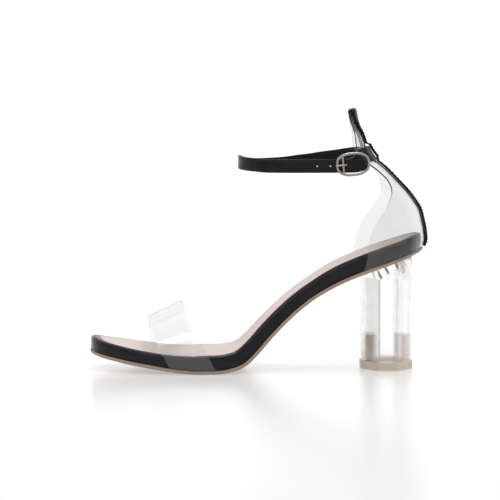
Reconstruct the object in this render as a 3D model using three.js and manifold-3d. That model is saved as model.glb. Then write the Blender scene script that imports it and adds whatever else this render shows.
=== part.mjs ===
// Block heel sandal, one left shoe: a clear band over the toes, a clear heel quarter with a black
// seam strip, a black ankle strap with a small buckle, and an eight-sided clear block heel.
// Millimetres, +Z up. The toe points to -X and the lateral side, with the buckle, to -Y.
import * as THREE from "three";
import { mergeVertices } from "three/addons/utils/BufferGeometryUtils.js";
import Module from "manifold-3d";

const wasm = await Module();
wasm.setup();
const { lerp, clamp, smoothstep, degToRad } = THREE.MathUtils;

// Clearance between pieces that meet
const gap = 0.3;

// Sole. Places along it are measured from the toe tip towards the heel
const soleLength = 218;
const ballWidth = 79;
const waistWidth = 47;
const seatWidth = 54;
const toeSpring = 12.2;
const heelRise = 78;
const treadFront = 68;
const treadBack = 82;
const outsoleThickness = 2.1;
const outsoleEdgeRadius = 0.7;
const platformThickness = 9.6;
const platformEdgeRadius = 2.8;
const rimWidth = 3;
const toeRimWidth = 5.5;
const toeRimLength = 16;
const toeFlush = 34;
const toeUpright = 30;
const backUpright = 34;
const insoleThickness = 1;
const insoleEdge = 0.4;

// Block heel
const heelFront = 177.7;
const heelLength = 32.7;
const heelBreadth = 45;
const heelCutAlong = 9.8;
const heelCutAcross = 14.5;
const liftThickness = 5.3;
const liftOverhang = 0.5;
const heelWall = 3;
const heelPlate = 3.1;
const pegHeight = 17;
const pegLength = 6.5;
const pegBreadth = 20;
const nailRadius = 1;
const nailLength = 8;
const nailTilt = 8;

// Clear sheet of the band and the quarter
const clearThickness = 1;

// Band over the toes: its crown, and its feet beside the platform
const crownFront = 37.5;
const crownRear = 59.9;
const crownFrontHeight = 34.3;
const crownRearHeight = 44.8;
const lateralFootFront = 51.8;
const lateralFootRear = 82;
const medialFootFront = 40;
const medialFootRear = 69;
const bandRoundness = 2.15;
const bandFlare = 1.1;

// Heel quarter and the strip over its seam
const quarterHeight = 88.2;
const quarterReach = 40.2;
const stripThickness = 1.3;
const stripWidth = 9;
const stripRamp = 1.8;
const tabWidth = 14;
const stripReturn = 23;

// Ankle strap, measured on its inner face
const strapWidth = 8.6;
const strapThickness = 1.8;
const strapEdgeRadius = 0.6;
const loopLength = 83.8;
const loopWidth = 52;
const loopRoundness = 2.5;
const strapLow = 133.5;
const strapBackRise = 7.8;

// Buckle
const buckleLength = 22.5;
const buckleHeight = 15.5;
const buckleWire = 0.85;
const buckleRoundness = 2.5;
const buckleFromSeam = 35.5;
const buckleLift = 1.2;
const buckleTilt = 5;
const buckleStandOff = 0.9;
const buckleInnerBow = 8.2;
const prongLength = 7.8;
const prongRadius = 0.55;

// Underside in front of the tread: at, share of treadFront; rise, share of toeSpring
const toeCurve = [
  { at: 0, rise: 0.88 },
  { at: 0.06, rise: 0.79 },
  { at: 0.12, rise: 0.71 },
  { at: 0.216, rise: 0.615 },
  { at: 0.37, rise: 0.459 },
  { at: 0.522, rise: 0.328 },
  { at: 0.674, rise: 0.197 },
  { at: 0.825, rise: 0.08 },
  { at: 1, rise: 0 },
];

// Underside behind the tread: at, share of the way to the back; rise, share of heelRise
const archCurve = [
  { at: 0, rise: 0 },
  { at: 0.037, rise: 0.005 },
  { at: 0.074, rise: 0.018 },
  { at: 0.1125, rise: 0.036 },
  { at: 0.151, rise: 0.073 },
  { at: 0.189, rise: 0.133 },
  { at: 0.227, rise: 0.205 },
  { at: 0.265, rise: 0.28 },
  { at: 0.343, rise: 0.418 },
  { at: 0.419, rise: 0.534 },
  { at: 0.496, rise: 0.63 },
  { at: 0.571, rise: 0.704 },
  { at: 0.647, rise: 0.766 },
  { at: 0.723, rise: 0.818 },
  { at: 0.799, rise: 0.866 },
  { at: 0.876, rise: 0.914 },
  { at: 0.9375, rise: 0.956 },
  { at: 1, rise: 1 },
];

// Plan outline: at, share of soleLength; lateral and medial, shares of the width they belong to
const outlineShares = [
  { at: 0, width: ballWidth, lateral: -0.025, medial: 0.025 },
  { at: 0.014, width: ballWidth, lateral: 0.152, medial: 0.177 },
  { at: 0.037, width: ballWidth, lateral: 0.241, medial: 0.266 },
  { at: 0.069, width: ballWidth, lateral: 0.316, medial: 0.342 },
  { at: 0.115, width: ballWidth, lateral: 0.392, medial: 0.405 },
  { at: 0.183, width: ballWidth, lateral: 0.456, medial: 0.456 },
  { at: 0.252, width: ballWidth, lateral: 0.494, medial: 0.481 },
  { at: 0.321, width: ballWidth, lateral: 0.519, medial: 0.481 },
  { at: 0.39, width: ballWidth, lateral: 0.506, medial: 0.456 },
  { at: 0.459, width: ballWidth, lateral: 0.456, medial: 0.399 },
  { at: 0.528, width: waistWidth, lateral: 0.66, medial: 0.564 },
  { at: 0.596, width: waistWidth, lateral: 0.574, medial: 0.489 },
  { at: 0.665, width: waistWidth, lateral: 0.536, medial: 0.468 },
  { at: 0.734, width: seatWidth, lateral: 0.472, medial: 0.435 },
  { at: 0.803, width: seatWidth, lateral: 0.491, medial: 0.472 },
  { at: 0.872, width: seatWidth, lateral: 0.5, medial: 0.491 },
  { at: 0.917, width: seatWidth, lateral: 0.472, medial: 0.472 },
  { at: 0.954, width: seatWidth, lateral: 0.398, medial: 0.398 },
  { at: 0.982, width: seatWidth, lateral: 0.259, medial: 0.259 },
  { at: 1, width: seatWidth, lateral: 0, medial: 0 },
];

// Platform: at, share of soleLength; full, share of platformThickness
const platformForm = [
  { at: 0, full: 0.96 },
  { at: 0.03, full: 0.88 },
  { at: 0.07, full: 0.83 },
  { at: 0.18, full: 0.81 },
  { at: 0.26, full: 0.875 },
  { at: 0.36, full: 1 },
  { at: 0.46, full: 0.97 },
  { at: 0.53, full: 0.89 },
  { at: 0.67, full: 0.89 },
  { at: 0.76, full: 1 },
  { at: 0.88, full: 1.05 },
  { at: 1, full: 1.05 },
];

// Back seam of the quarter: at, share of quarterHeight from its foot; back, share of quarterHeight
const seamLine = [
  { at: 0, back: 0.005 },
  { at: 0.054, back: 0.018 },
  { at: 0.13, back: 0.01 },
  { at: 0.2, back: -0.005 },
  { at: 0.272, back: -0.025 },
  { at: 0.329, back: -0.06 },
  { at: 0.398, back: -0.111 },
  { at: 0.467, back: -0.176 },
  { at: 0.528, back: -0.234 },
  { at: 0.579, back: -0.286 },
  { at: 0.627, back: -0.345 },
  { at: 0.683, back: -0.393 },
  { at: 0.739, back: -0.424 },
  { at: 0.784, back: -0.44 },
  { at: 0.838, back: -0.458 },
  { at: 0.883, back: -0.481 },
  { at: 0.936, back: -0.498 },
  { at: 1, back: -0.511 },
];

// Front edges of the quarter: how far in front of the seam, shares of quarterReach
const quarterEdge = [
  { at: 0, lateral: 1.009, medial: 1.129 },
  { at: 0.07, lateral: 0.975, medial: 1.117 },
  { at: 0.14, lateral: 0.92, medial: 1.045 },
  { at: 0.2, lateral: 0.809, medial: 0.937 },
  { at: 0.25, lateral: 0.674, medial: 0.798 },
  { at: 0.33, lateral: 0.463, medial: 0.562 },
  { at: 0.37, lateral: 0.361, medial: 0.453 },
  { at: 0.42, lateral: 0.25, medial: 0.345 },
  { at: 0.46, lateral: 0.184, medial: 0.274 },
  { at: 0.51, lateral: 0.15, medial: 0.201 },
  { at: 0.555, lateral: 0.155, medial: 0.165 },
  { at: 0.6, lateral: 0.168, medial: 0.168 },
  { at: 0.68, lateral: 0.187, medial: 0.187 },
  { at: 0.74, lateral: 0.169, medial: 0.169 },
  { at: 0.78, lateral: 0.152, medial: 0.152 },
  { at: 0.83, lateral: 0.125, medial: 0.125 },
  { at: 0.875, lateral: 0.098, medial: 0.098 },
  { at: 1, lateral: 0.072, medial: 0.072 },
];

// Sections of the quarter: seat, how far a level lies along the seat; ankle, how far it has the
// round form of the ankle; narrow, share of that form's width; tilt, fall towards the front
const quarterForm = [
  { at: 0, seat: 1, ankle: 0, narrow: 1, tilt: 0 },
  { at: 0.07, seat: 0.78, ankle: 0, narrow: 1, tilt: 0 },
  { at: 0.14, seat: 0.5, ankle: 0, narrow: 1, tilt: 0 },
  { at: 0.25, seat: 0.1, ankle: 0.25, narrow: 1, tilt: 0 },
  { at: 0.33, seat: 0, ankle: 0.55, narrow: 1, tilt: 0 },
  { at: 0.55, seat: 0, ankle: 1, narrow: 1, tilt: 0 },
  { at: 0.77, seat: 0, ankle: 1, narrow: 1, tilt: 0 },
  { at: 0.87, seat: 0, ankle: 1, narrow: 0.74, tilt: 0.15 },
  { at: 1, seat: 0, ankle: 1, narrow: 0.66, tilt: 0.5 },
];

// Strap height around the loop from the seam over the lateral side: lift, share of strapBackRise
const strapRise = [
  { at: 0, lift: 1 },
  { at: 0.03, lift: 0.985 },
  { at: 0.06, lift: 0.94 },
  { at: 0.09, lift: 0.86 },
  { at: 0.108, lift: 0.79 },
  { at: 0.13, lift: 0.45 },
  { at: 0.15, lift: 0.14 },
  { at: 0.17, lift: 0 },
  { at: 0.2, lift: 0 },
  { at: 0.332, lift: 0 },
  { at: 0.382, lift: 0.075 },
  { at: 0.442, lift: 0.167 },
  { at: 0.5, lift: 0.24 },
  { at: 0.586, lift: -0.03 },
  { at: 0.64, lift: -0.12 },
  { at: 0.69, lift: -0.09 },
  { at: 0.723, lift: 0.013 },
  { at: 0.75, lift: 0.19 },
  { at: 0.78, lift: 0.4 },
  { at: 0.823, lift: 0.59 },
  { at: 0.878, lift: 0.8 },
  { at: 0.93, lift: 0.93 },
  { at: 1, lift: 1 },
];

// Nails from the seat into the block: along and across, shares of the heel's length and breadth
const nails = [
  { along: 0.3, across: -0.16 },
  { along: 0.48, across: 0.18 },
  { along: 0.69, across: -0.18 },
  { along: 0.86, across: 0.1 },
];

// Smooth reading of one column of a table, without overshoot between its rows
function read(table, column, at) {
  const last = table.length - 1;
  const place = clamp(at, table[0].at, table[last].at);
  const slope = (i) => (table[i + 1][column] - table[i][column]) / (table[i + 1].at - table[i].at);
  const tangent = (i) => {
    if (i === 0 || i === last) {
      return slope(Math.min(i, last - 1));
    }
    const before = slope(i - 1);
    const after = slope(i);
    return before * after <= 0 ? 0 : (2 * before * after) / (before + after);
  };
  let row = 0;
  while (row < last - 1 && place > table[row + 1].at) {
    row += 1;
  }
  const span = table[row + 1].at - table[row].at;
  const s = (place - table[row].at) / span;
  const startWeight = (1 + 2 * s) * (1 - s) ** 2;
  const endWeight = s * s * (3 - 2 * s);
  const startBend = s * (1 - s) ** 2 * span;
  const endBend = s * s * (s - 1) * span;
  return (
    startWeight * table[row][column] +
    endWeight * table[row + 1][column] +
    startBend * tangent(row) +
    endBend * tangent(row + 1)
  );
}

// Line of the sole's underside
function soleLine(x) {
  if (x < treadFront) {
    return toeSpring * read(toeCurve, "rise", x / treadFront);
  }
  return heelRise * read(archCurve, "rise", (x - treadBack) / (soleLength - treadBack));
}

function soleLean(x) {
  const step = 0.5;
  return Math.atan((soleLine(x + step) - soleLine(x - step)) / (2 * step));
}

// Point above the underside, measured square to it; both ends stand upright
function onSole(x, y, height) {
  const fromBack = soleLength - x;
  const lean = soleLean(x) * smoothstep(x, 0, toeUpright) * smoothstep(fromBack, 0, backUpright);
  return new THREE.Vector3(x - Math.sin(lean) * height, y, soleLine(x) + Math.cos(lean) * height);
}

// The round ends need places that crowd towards them, so the outline is read by angle
const byAngle = (share) => Math.acos(1 - 2 * clamp(share, 0, 1)) / Math.PI;
const outline = outlineShares.map((row) => ({
  at: byAngle(row.at),
  lateral: row.width * row.lateral,
  medial: row.width * row.medial,
}));

function halfWidth(side, x) {
  return read(outline, side, byAngle(x / soleLength));
}

// Plan points from the toe tip along the lateral side to the back, and home on the medial side
const soleSteps = 40;
const planPoints = [];
for (let i = 0; i < 2 * soleSteps; i += 1) {
  const side = i <= soleSteps ? "lateral" : "medial";
  const step = i <= soleSteps ? i : 2 * soleSteps - i;
  const x = (soleLength * (1 - Math.cos((Math.PI * step) / soleSteps))) / 2;
  const y = halfWidth(side, x) * (side === "lateral" ? -1 : 1);
  planPoints.push(new THREE.Vector2(x, y));
}

function planInset(i, inset) {
  const before = planPoints[(i + planPoints.length - 1) % planPoints.length];
  const after = planPoints[(i + 1) % planPoints.length];
  const inward = new THREE.Vector2(before.y - after.y, after.x - before.x).normalize();
  return planPoints[i].clone().addScaledVector(inward, inset);
}

// Closed geometry from four-cornered faces: shared corners become one vertex
function closedGeometry(faces) {
  const places = [];
  const known = new Map();
  const indexOf = (p) => {
    const key = [p.x, p.y, p.z].map((value) => Math.round(value * 1e4)).join(" ");
    if (!known.has(key)) {
      known.set(key, places.length / 3);
      places.push(p.x, p.y, p.z);
    }
    return known.get(key);
  };
  const triangles = [];
  for (const face of faces) {
    const [a, b, c, d] = face.map(indexOf);
    for (const corners of [[a, b, c], [a, c, d]]) {
      if (new Set(corners).size === 3) {
        triangles.push(...corners);
      }
    }
  }
  const at = (i) => new THREE.Vector3().fromArray(places, 3 * i);
  let volume = 0;
  for (let i = 0; i < triangles.length; i += 3) {
    volume += at(triangles[i]).dot(at(triangles[i + 1]).cross(at(triangles[i + 2])));
  }
  if (volume < 0) {
    triangles.reverse();
  }
  const geometry = new THREE.BufferGeometry();
  geometry.setAttribute("position", new THREE.Float32BufferAttribute(places, 3));
  geometry.setIndex(triangles);
  return geometry;
}

// Sole layer: rings of the plan outline from the lower rim to the upper one, closed across both
function soleLayer(rings) {
  const across = 4;
  const count = planPoints.length;
  const ringPoints = rings.map(({ inset, height }) =>
    planPoints.map((_, i) => {
      const plan = planInset(i, inset(planPoints[i].x));
      return onSole(plan.x, plan.y, height(planPoints[i].x));
    }),
  );
  const faces = [];
  for (let r = 0; r < rings.length - 1; r += 1) {
    for (let i = 0; i < count; i += 1) {
      const next = (i + 1) % count;
      faces.push([ringPoints[r][i], ringPoints[r][next], ringPoints[r + 1][next], ringPoints[r + 1][i]]);
    }
  }
  const closeAcross = (ring, upwards) => {
    const rung = (i, k) => ring[i].clone().lerp(ring[(count - i) % count], k / across);
    for (let i = 0; i < soleSteps; i += 1) {
      for (let k = 0; k < across; k += 1) {
        const face = [rung(i, k), rung(i + 1, k), rung(i + 1, k + 1), rung(i, k + 1)];
        faces.push(upwards ? face : face.reverse());
      }
    }
  };
  closeAcross(ringPoints[0], false);
  closeAcross(ringPoints[rings.length - 1], true);
  return closedGeometry(faces);
}

// Sheet with two faces and four edges: pointAt(u, v, face) with face 0 outside and 1 inside
function sheet(uSteps, vSteps, pointAt) {
  const grid = [0, 1].map((face) =>
    Array.from({ length: uSteps + 1 }, (_, i) =>
      Array.from({ length: vSteps + 1 }, (__, j) => pointAt(i / uSteps, j / vSteps, face)),
    ),
  );
  const [outer, inner] = grid;
  const faces = [];
  for (let i = 0; i < uSteps; i += 1) {
    for (let j = 0; j < vSteps; j += 1) {
      faces.push([outer[i][j], outer[i + 1][j], outer[i + 1][j + 1], outer[i][j + 1]]);
      faces.push([inner[i][j], inner[i][j + 1], inner[i + 1][j + 1], inner[i + 1][j]]);
    }
  }
  for (let i = 0; i < uSteps; i += 1) {
    faces.push([inner[i][0], inner[i + 1][0], outer[i + 1][0], outer[i][0]]);
    faces.push([outer[i][vSteps], outer[i + 1][vSteps], inner[i + 1][vSteps], inner[i][vSteps]]);
  }
  for (let j = 0; j < vSteps; j += 1) {
    faces.push([outer[0][j], outer[0][j + 1], inner[0][j + 1], inner[0][j]]);
    faces.push([inner[uSteps][j], inner[uSteps][j + 1], outer[uSteps][j + 1], outer[uSteps][j]]);
  }
  return closedGeometry(faces);
}

// Ring that closes on itself, from a section of so many corners: pointAt(turn, corner)
function ring(steps, corners, pointAt) {
  const faces = [];
  for (let i = 0; i < steps; i += 1) {
    const here = i / steps;
    const next = ((i + 1) % steps) / steps;
    for (let k = 0; k < corners; k += 1) {
      const after = (k + 1) % corners;
      faces.push([pointAt(here, k), pointAt(next, k), pointAt(next, after), pointAt(here, after)]);
    }
  }
  return closedGeometry(faces);
}

// Outward normal of a surface pointAt(u, v), turned to the side of the given direction
function normalOf(pointAt, u, v, towards) {
  const step = 0.002;
  const alongU = pointAt(u + step, v).sub(pointAt(u - step, v));
  const alongV = pointAt(u, v + step).sub(pointAt(u, v - step));
  const normal = alongU.cross(alongV).normalize();
  return normal.dot(towards) < 0 ? normal.negate() : normal;
}

// Joining and cutting
function toSolid(geometry) {
  const bare = geometry.clone();
  bare.deleteAttribute("normal");
  bare.deleteAttribute("uv");
  const merged = mergeVertices(bare, 1e-4);
  const vertProperties = new Float32Array(merged.attributes.position.array);
  const triVerts = new Uint32Array(merged.index.array);
  return new wasm.Manifold(new wasm.Mesh({ numProp: 3, vertProperties, triVerts }));
}

function fromSolid(solid) {
  const mesh = solid.getMesh();
  const geometry = new THREE.BufferGeometry();
  geometry.setAttribute("position", new THREE.Float32BufferAttribute(mesh.vertProperties, 3));
  geometry.setIndex(Array.from(mesh.triVerts));
  return geometry;
}

// Outsole: a thin tan sheet, from the toe to the back of the seat
const outsoleTop = outsoleThickness;
function outsoleGeometry() {
  return soleLayer([
    { inset: () => outsoleEdgeRadius, height: () => 0 },
    { inset: () => 0, height: () => outsoleEdgeRadius },
    { inset: () => 0, height: () => outsoleTop - outsoleEdgeRadius / 2 },
    { inset: () => outsoleEdgeRadius / 2, height: () => outsoleTop },
  ]);
}

// Platform: a wrapped board with a rounded rim around a shallow bed for the insole
const platformFoot = outsoleTop + gap;
const platformInset = (x) => gap + clearThickness * smoothstep(x, 0, toeFlush);
const bedDepth = insoleThickness + gap;
const platformTop = (x) => platformFoot + platformThickness * read(platformForm, "full", x / soleLength);
const rimAt = (x) => lerp(toeRimWidth, rimWidth, smoothstep(x, 0, toeRimLength));
const bedInset = (x) => platformInset(x) + rimAt(x);

function platformGeometry() {
  const rimSteps = 3;
  const edge = platformEdgeRadius;
  const rings = [{ inset: (x) => platformInset(x) + gap, height: () => platformFoot }];
  rings.push({ inset: platformInset, height: () => platformFoot + gap });
  for (let i = 0; i <= rimSteps; i += 1) {
    const turn = (Math.PI * i) / (2 * rimSteps);
    rings.push({
      inset: (x) => platformInset(x) + edge * (1 - Math.cos(turn)),
      height: (x) => platformTop(x) - edge * (1 - Math.sin(turn)),
    });
  }
  rings.push({ inset: bedInset, height: platformTop });
  rings.push({ inset: bedInset, height: (x) => platformTop(x) - bedDepth });
  return soleLayer(rings);
}

// Insole: a thin pale sheet in the platform's bed
function insoleGeometry() {
  const inset = (x) => bedInset(x) + gap;
  return soleLayer([
    { inset, height: (x) => platformTop(x) - bedDepth + gap },
    { inset, height: (x) => platformTop(x) - insoleEdge },
    { inset: (x) => inset(x) + insoleEdge, height: platformTop },
  ]);
}

// Block heel: a hollow eight-sided column, closed above and cut to the slope of the seat
const heelMiddle = heelFront + heelLength / 2;

// Its outline, grown evenly: the slanted sides keep their distance too
function eightSided(grow) {
  const along = heelLength / 2 + grow;
  const across = heelBreadth / 2 + grow;
  const spare = (heelCutAlong + heelCutAcross - Math.hypot(heelCutAlong, heelCutAcross)) * grow;
  const cornerAlong = along - heelCutAlong - spare / heelCutAcross;
  const cornerAcross = across - heelCutAcross - spare / heelCutAlong;
  const shape = new THREE.Shape();
  shape.moveTo(along, -cornerAcross);
  shape.lineTo(along, cornerAcross);
  shape.lineTo(cornerAlong, across);
  shape.lineTo(-cornerAlong, across);
  shape.lineTo(-along, cornerAcross);
  shape.lineTo(-along, -cornerAcross);
  shape.lineTo(-cornerAlong, -across);
  shape.lineTo(cornerAlong, -across);
  return shape;
}

// Space below the seat, as an outline in X and Z drawn out across the heel
function belowSeat() {
  const steps = 12;
  const start = heelFront - heelLength / 4;
  const end = heelFront + (heelLength * 5) / 4;
  const shape = new THREE.Shape();
  shape.moveTo(start, 0);
  shape.lineTo(end, 0);
  for (let i = steps; i >= 0; i -= 1) {
    const point = onSole(lerp(start, end, i / steps), 0, -gap);
    shape.lineTo(point.x, point.z);
  }
  const block = new THREE.ExtrudeGeometry(shape, { depth: 2 * heelBreadth, bevelEnabled: false });
  block.rotateX(Math.PI / 2);
  block.translate(0, heelBreadth, 0);
  return block;
}

// Nail square to the seat, from its head down into the block
function nailGeometry({ along, across }, grow) {
  const x = heelFront + heelLength * along;
  const length = nailLength + 4 * grow;
  const nail = new THREE.CylinderGeometry(nailRadius + grow, nailRadius + grow, length, 10);
  nail.rotateX(Math.PI / 2);
  nail.rotateY(-soleLean(x) - degToRad(nailTilt));
  const middle = onSole(x, heelBreadth * across, -gap - nailLength / 2);
  nail.translate(middle.x, middle.y, middle.z);
  return nail;
}

function column(grow, low, high) {
  const form = new THREE.ExtrudeGeometry(eightSided(grow), { depth: high - low, bevelEnabled: false });
  form.translate(heelMiddle, 0, low);
  return toSolid(form);
}

function heelGeometry() {
  const foot = liftThickness + gap;
  const ceiling = onSole(heelFront, 0, -gap).z - heelPlate;
  const hollow = column(-heelWall, 0, ceiling);
  let block = column(0, foot, heelRise).intersect(toSolid(belowSeat())).subtract(hollow);
  for (const nail of nails) {
    block = block.subtract(toSolid(nailGeometry(nail, gap)));
  }
  return fromSolid(block);
}

// Top lift: a plate with two pegs that stand up inside the block, one at each end
function liftGeometry() {
  const clearance = heelWall + gap;
  const between = heelLength - 2 * (clearance + pegLength);
  const top = liftThickness + pegHeight;
  const span = new THREE.BoxGeometry(heelLength, pegBreadth, 2 * top).translate(heelMiddle, 0, 0);
  const space = new THREE.BoxGeometry(between, heelBreadth, 4 * top).translate(heelMiddle, 0, 0);
  const pegs = column(-clearance, 0, top).intersect(toSolid(span)).subtract(toSolid(space));
  return fromSolid(column(liftOverhang, 0, liftThickness).add(pegs));
}

// Band over the toes: across 0 at its lateral foot and 1 at its medial foot, along 0 at its front
function bandPoint(across, along) {
  const lateral = across < 0.5;
  const side = lateral ? "lateral" : "medial";
  const climb = 1 - Math.abs(2 * across - 1);
  const wallShare = 0.2;
  const crownX = lerp(crownFront, crownRear, along);
  const crownZ = lerp(crownFrontHeight, crownRearHeight, along);
  const footFront = lateral ? lateralFootFront : medialFootFront;
  const footRear = lateral ? lateralFootRear : medialFootRear;
  const footX = lerp(footFront, footRear, along);
  const footZ = onSole(footX, 0, platformFoot).z;
  const lipZ = onSole(footX, 0, platformTop(footX)).z;
  const turn = (Math.PI / 2) * clamp((climb - wallShare) / (1 - wallShare), 0, 1);
  const out = Math.cos(turn) ** (2 / bandRoundness);
  const up = Math.sin(turn) ** (2 / bandRoundness);
  const wallZ = lerp(footZ, lipZ, Math.min(climb / wallShare, 1));
  const z = climb < wallShare ? wallZ : lerp(lipZ, crownZ, up);
  const x = lerp(crownX, footX, ((crownZ - z) / (crownZ - footZ)) ** bandFlare);
  const y = halfWidth(side, x) * out * (lateral ? -1 : 1);
  return new THREE.Vector3(x, y, z);
}

function bandGeometry() {
  return sheet(40, 5, (across, along, face) => {
    const point = bandPoint(across, along);
    const near = clamp(across, 0.004, 0.996);
    const outward = new THREE.Vector3(0, point.y, point.z);
    const normal = normalOf(bandPoint, near, along, outward);
    return point.addScaledVector(normal, -clearThickness * face);
  });
}

// Heel quarter. A level is a share of its height; a depth is how far in front of the seam
const quarterFoot = onSole(soleLength, 0, platformFoot).z;
const seamX = (level) => soleLength + quarterHeight * read(seamLine, "back", level);
const seatTop = (x) => soleLine(x) + platformFoot / Math.cos(soleLean(x));

// Half width of the strap's round loop, at a depth in front of its back
function loopHalfWidth(depth) {
  const along = Math.abs(1 - depth / (loopLength / 2));
  return (loopWidth / 2) * Math.max(1 - along ** loopRoundness, 0) ** (1 / loopRoundness);
}

function quarterHalfWidth(side, depth, level) {
  const x = soleLength - depth;
  const platformShift = Math.sin(soleLean(x)) * quarterHeight * Math.min(level, 0.2);
  const seat = Math.max(halfWidth(side, x), halfWidth(side, x + platformShift));
  const round = loopHalfWidth(depth);
  return read(quarterForm, "narrow", level) * lerp(seat, round, read(quarterForm, "ankle", level));
}

function quarterPlace(side, depth, level) {
  const x = seamX(level) - depth;
  const drop = seatTop(soleLength) - seatTop(clamp(soleLength - depth, 0, soleLength));
  const fall = read(quarterForm, "seat", level) * drop + read(quarterForm, "tilt", level) * depth;
  const y = quarterHalfWidth(side, depth, level) * (side === "lateral" ? -1 : 1);
  return new THREE.Vector3(x, y, quarterFoot + quarterHeight * level - fall);
}

// Around runs from the lateral front edge, past the seam at a half, to the medial front edge
function quarterPoint(around, level) {
  const side = around < 0.5 ? "lateral" : "medial";
  const reach = quarterReach * read(quarterEdge, side, level);
  const depth = reach * (1 - Math.cos(Math.PI * Math.abs(around - 0.5)));
  return quarterPlace(side, depth, level);
}

const behind = new THREE.Vector3(1, 0, 0);

function quarterGeometry() {
  return sheet(28, 24, (around, level, face) => {
    const point = quarterPoint(around, level);
    const outward = new THREE.Vector3(point.x - seamX(level) + quarterReach, point.y, 0);
    const nearLevel = clamp(level, 0.004, 0.996);
    const nearAround = clamp(around, 0.004, 0.996);
    const normal = normalOf(quarterPoint, nearAround, nearLevel, outward);
    return point.addScaledVector(normal, -clearThickness * face);
  });
}

// Depth at which the quarter's section is so wide
function depthFor(y, level) {
  let low = 0;
  let high = quarterReach;
  for (let i = 0; i < 40; i += 1) {
    const middle = (low + high) / 2;
    if (quarterHalfWidth("lateral", middle, level) < Math.abs(y)) {
      low = middle;
    } else {
      high = middle;
    }
  }
  return (low + high) / 2;
}

// Seam surface by width: y is measured from the seam
function seamPoint(y, level) {
  const point = quarterPlace("medial", depthFor(y, level), level);
  point.y = y;
  return point;
}

// Strap loop: turn 0 at the seam, a quarter on the lateral side, a half at the front
const strapBackHeight = strapLow + strapBackRise;
const levelOf = (z) => (z - quarterFoot) / quarterHeight;

function loopPlace(turn, z) {
  const angle = 2 * Math.PI * turn;
  const power = 2 / loopRoundness;
  const along = Math.sign(Math.cos(angle)) * Math.abs(Math.cos(angle)) ** power;
  const across = Math.sign(Math.sin(angle)) * Math.abs(Math.sin(angle)) ** power;
  const depth = (loopLength / 2) * (1 - along);
  const follow = 1 - smoothstep(depth, loopLength / 9, loopLength / 3);
  const leanZ = lerp(strapBackHeight, z, follow);
  return new THREE.Vector3(seamX(levelOf(leanZ)) - depth, (-loopWidth / 2) * across, z);
}

function offLoop(turn, z, out) {
  const step = 0.004;
  const before = loopPlace(turn - step, z);
  const after = loopPlace(turn + step, z);
  const outward = new THREE.Vector3(before.y - after.y, after.x - before.x, 0).normalize();
  return loopPlace(turn, z).addScaledVector(outward, out);
}

// Point on the strap: up, share of its width from its middle; out, how far outside the loop
function strapPoint(turn, up, out) {
  const middle = strapLow + strapBackRise * read(strapRise, "lift", turn);
  return offLoop(turn, middle + strapWidth * up, out);
}

function strapGeometry() {
  const edge = strapEdgeRadius;
  const upEdge = 0.5 - edge / strapWidth;
  const corners = [
    [-upEdge, gap],
    [-0.5, gap + edge],
    [-0.5, gap + strapThickness - edge],
    [-upEdge, gap + strapThickness],
    [upEdge, gap + strapThickness],
    [0.5, gap + strapThickness - edge],
    [0.5, gap + edge],
    [upEdge, gap],
  ];
  return ring(64, corners.length, (turn, k) => strapPoint(turn, corners[k][0], corners[k][1]));
}

// Strip over the seam: up the outside, over the strap and the peak, and down the inside
function stripStations() {
  const stations = [];
  const outside = 30;
  const fold = 5;
  const inside = 8;
  const halfStrap = levelOf(strapWidth / 2 + quarterFoot);
  const strapLevel = levelOf(strapBackHeight);
  const ramp = levelOf(stripRamp + quarterFoot);
  for (let i = 0; i <= outside; i += 1) {
    const level = i / outside;
    const away = Math.abs(level - strapLevel) - halfStrap;
    const over = 1 - smoothstep(away, 0, ramp);
    const wide = smoothstep(level, strapLevel + halfStrap, 1);
    const lift = gap + (strapThickness + gap) * over;
    stations.push({ level, turn: 0, lift, half: lerp(stripWidth, tabWidth, wide) / 2 });
  }
  for (let i = 1; i < fold; i += 1) {
    stations.push({ level: 1, turn: (Math.PI * i) / fold, lift: gap, half: tabWidth / 2 });
  }
  for (let i = 0; i <= inside; i += 1) {
    const share = i / inside;
    const half = (tabWidth / 2) * Math.sqrt(1 - 0.8 * share ** 3);
    const level = 1 - (share * stripReturn) / quarterHeight;
    stations.push({ level, turn: Math.PI, lift: gap, half });
  }
  return stations;
}

function stripGeometry() {
  const stations = stripStations();
  const count = stations.length - 1;
  return sheet(count, 6, (along, across, face) => {
    const { level, turn, lift, half } = stations[Math.round(along * count)];
    const y = half * (2 * across - 1);
    const point = seamPoint(y, level);
    const near = clamp(level, 0.004, 0.996);
    const normal = normalOf(seamPoint, y, near, behind);
    const up = seamPoint(y, near + 0.002).sub(seamPoint(y, near - 0.002)).normalize();
    const away = normal.clone().multiplyScalar(Math.cos(turn)).addScaledVector(up, Math.sin(turn));
    const distance = clearThickness / 2 + lift + stripThickness * (1 - face);
    point.addScaledVector(normal, -clearThickness / 2);
    return point.addScaledVector(away, distance);
  });
}

// Buckle: places towards the seam, up across the ring and out from the strap's outer face. The
// ring bends round the ankle, stands off a little at its rear end and keeps its own level and tilt
const outerFace = gap + strapThickness;
const buckleLevel = strapLow + buckleLift;
const strapRuler = [{ at: 0, turn: 0 }];
const rulerSteps = 120;
for (let i = 1; i <= rulerSteps; i += 1) {
  const turn = i / rulerSteps / 2;
  const last = strapRuler[i - 1];
  const here = offLoop(turn, buckleLevel, outerFace);
  const stride = here.distanceTo(offLoop(last.turn, buckleLevel, outerFace));
  strapRuler.push({ at: last.at + stride, turn });
}

function onStrap(along, up, out) {
  const tilt = degToRad(buckleTilt);
  const level = along * Math.cos(tilt) - up * Math.sin(tilt);
  const height = up * Math.cos(tilt) + along * Math.sin(tilt);
  const turn = read(strapRuler, "turn", buckleFromSeam - level);
  const away = buckleStandOff * smoothstep(level, 0, buckleLength / 2);
  return offLoop(turn, buckleLevel, outerFace + out + away).setZ(buckleLevel + height);
}

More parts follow.
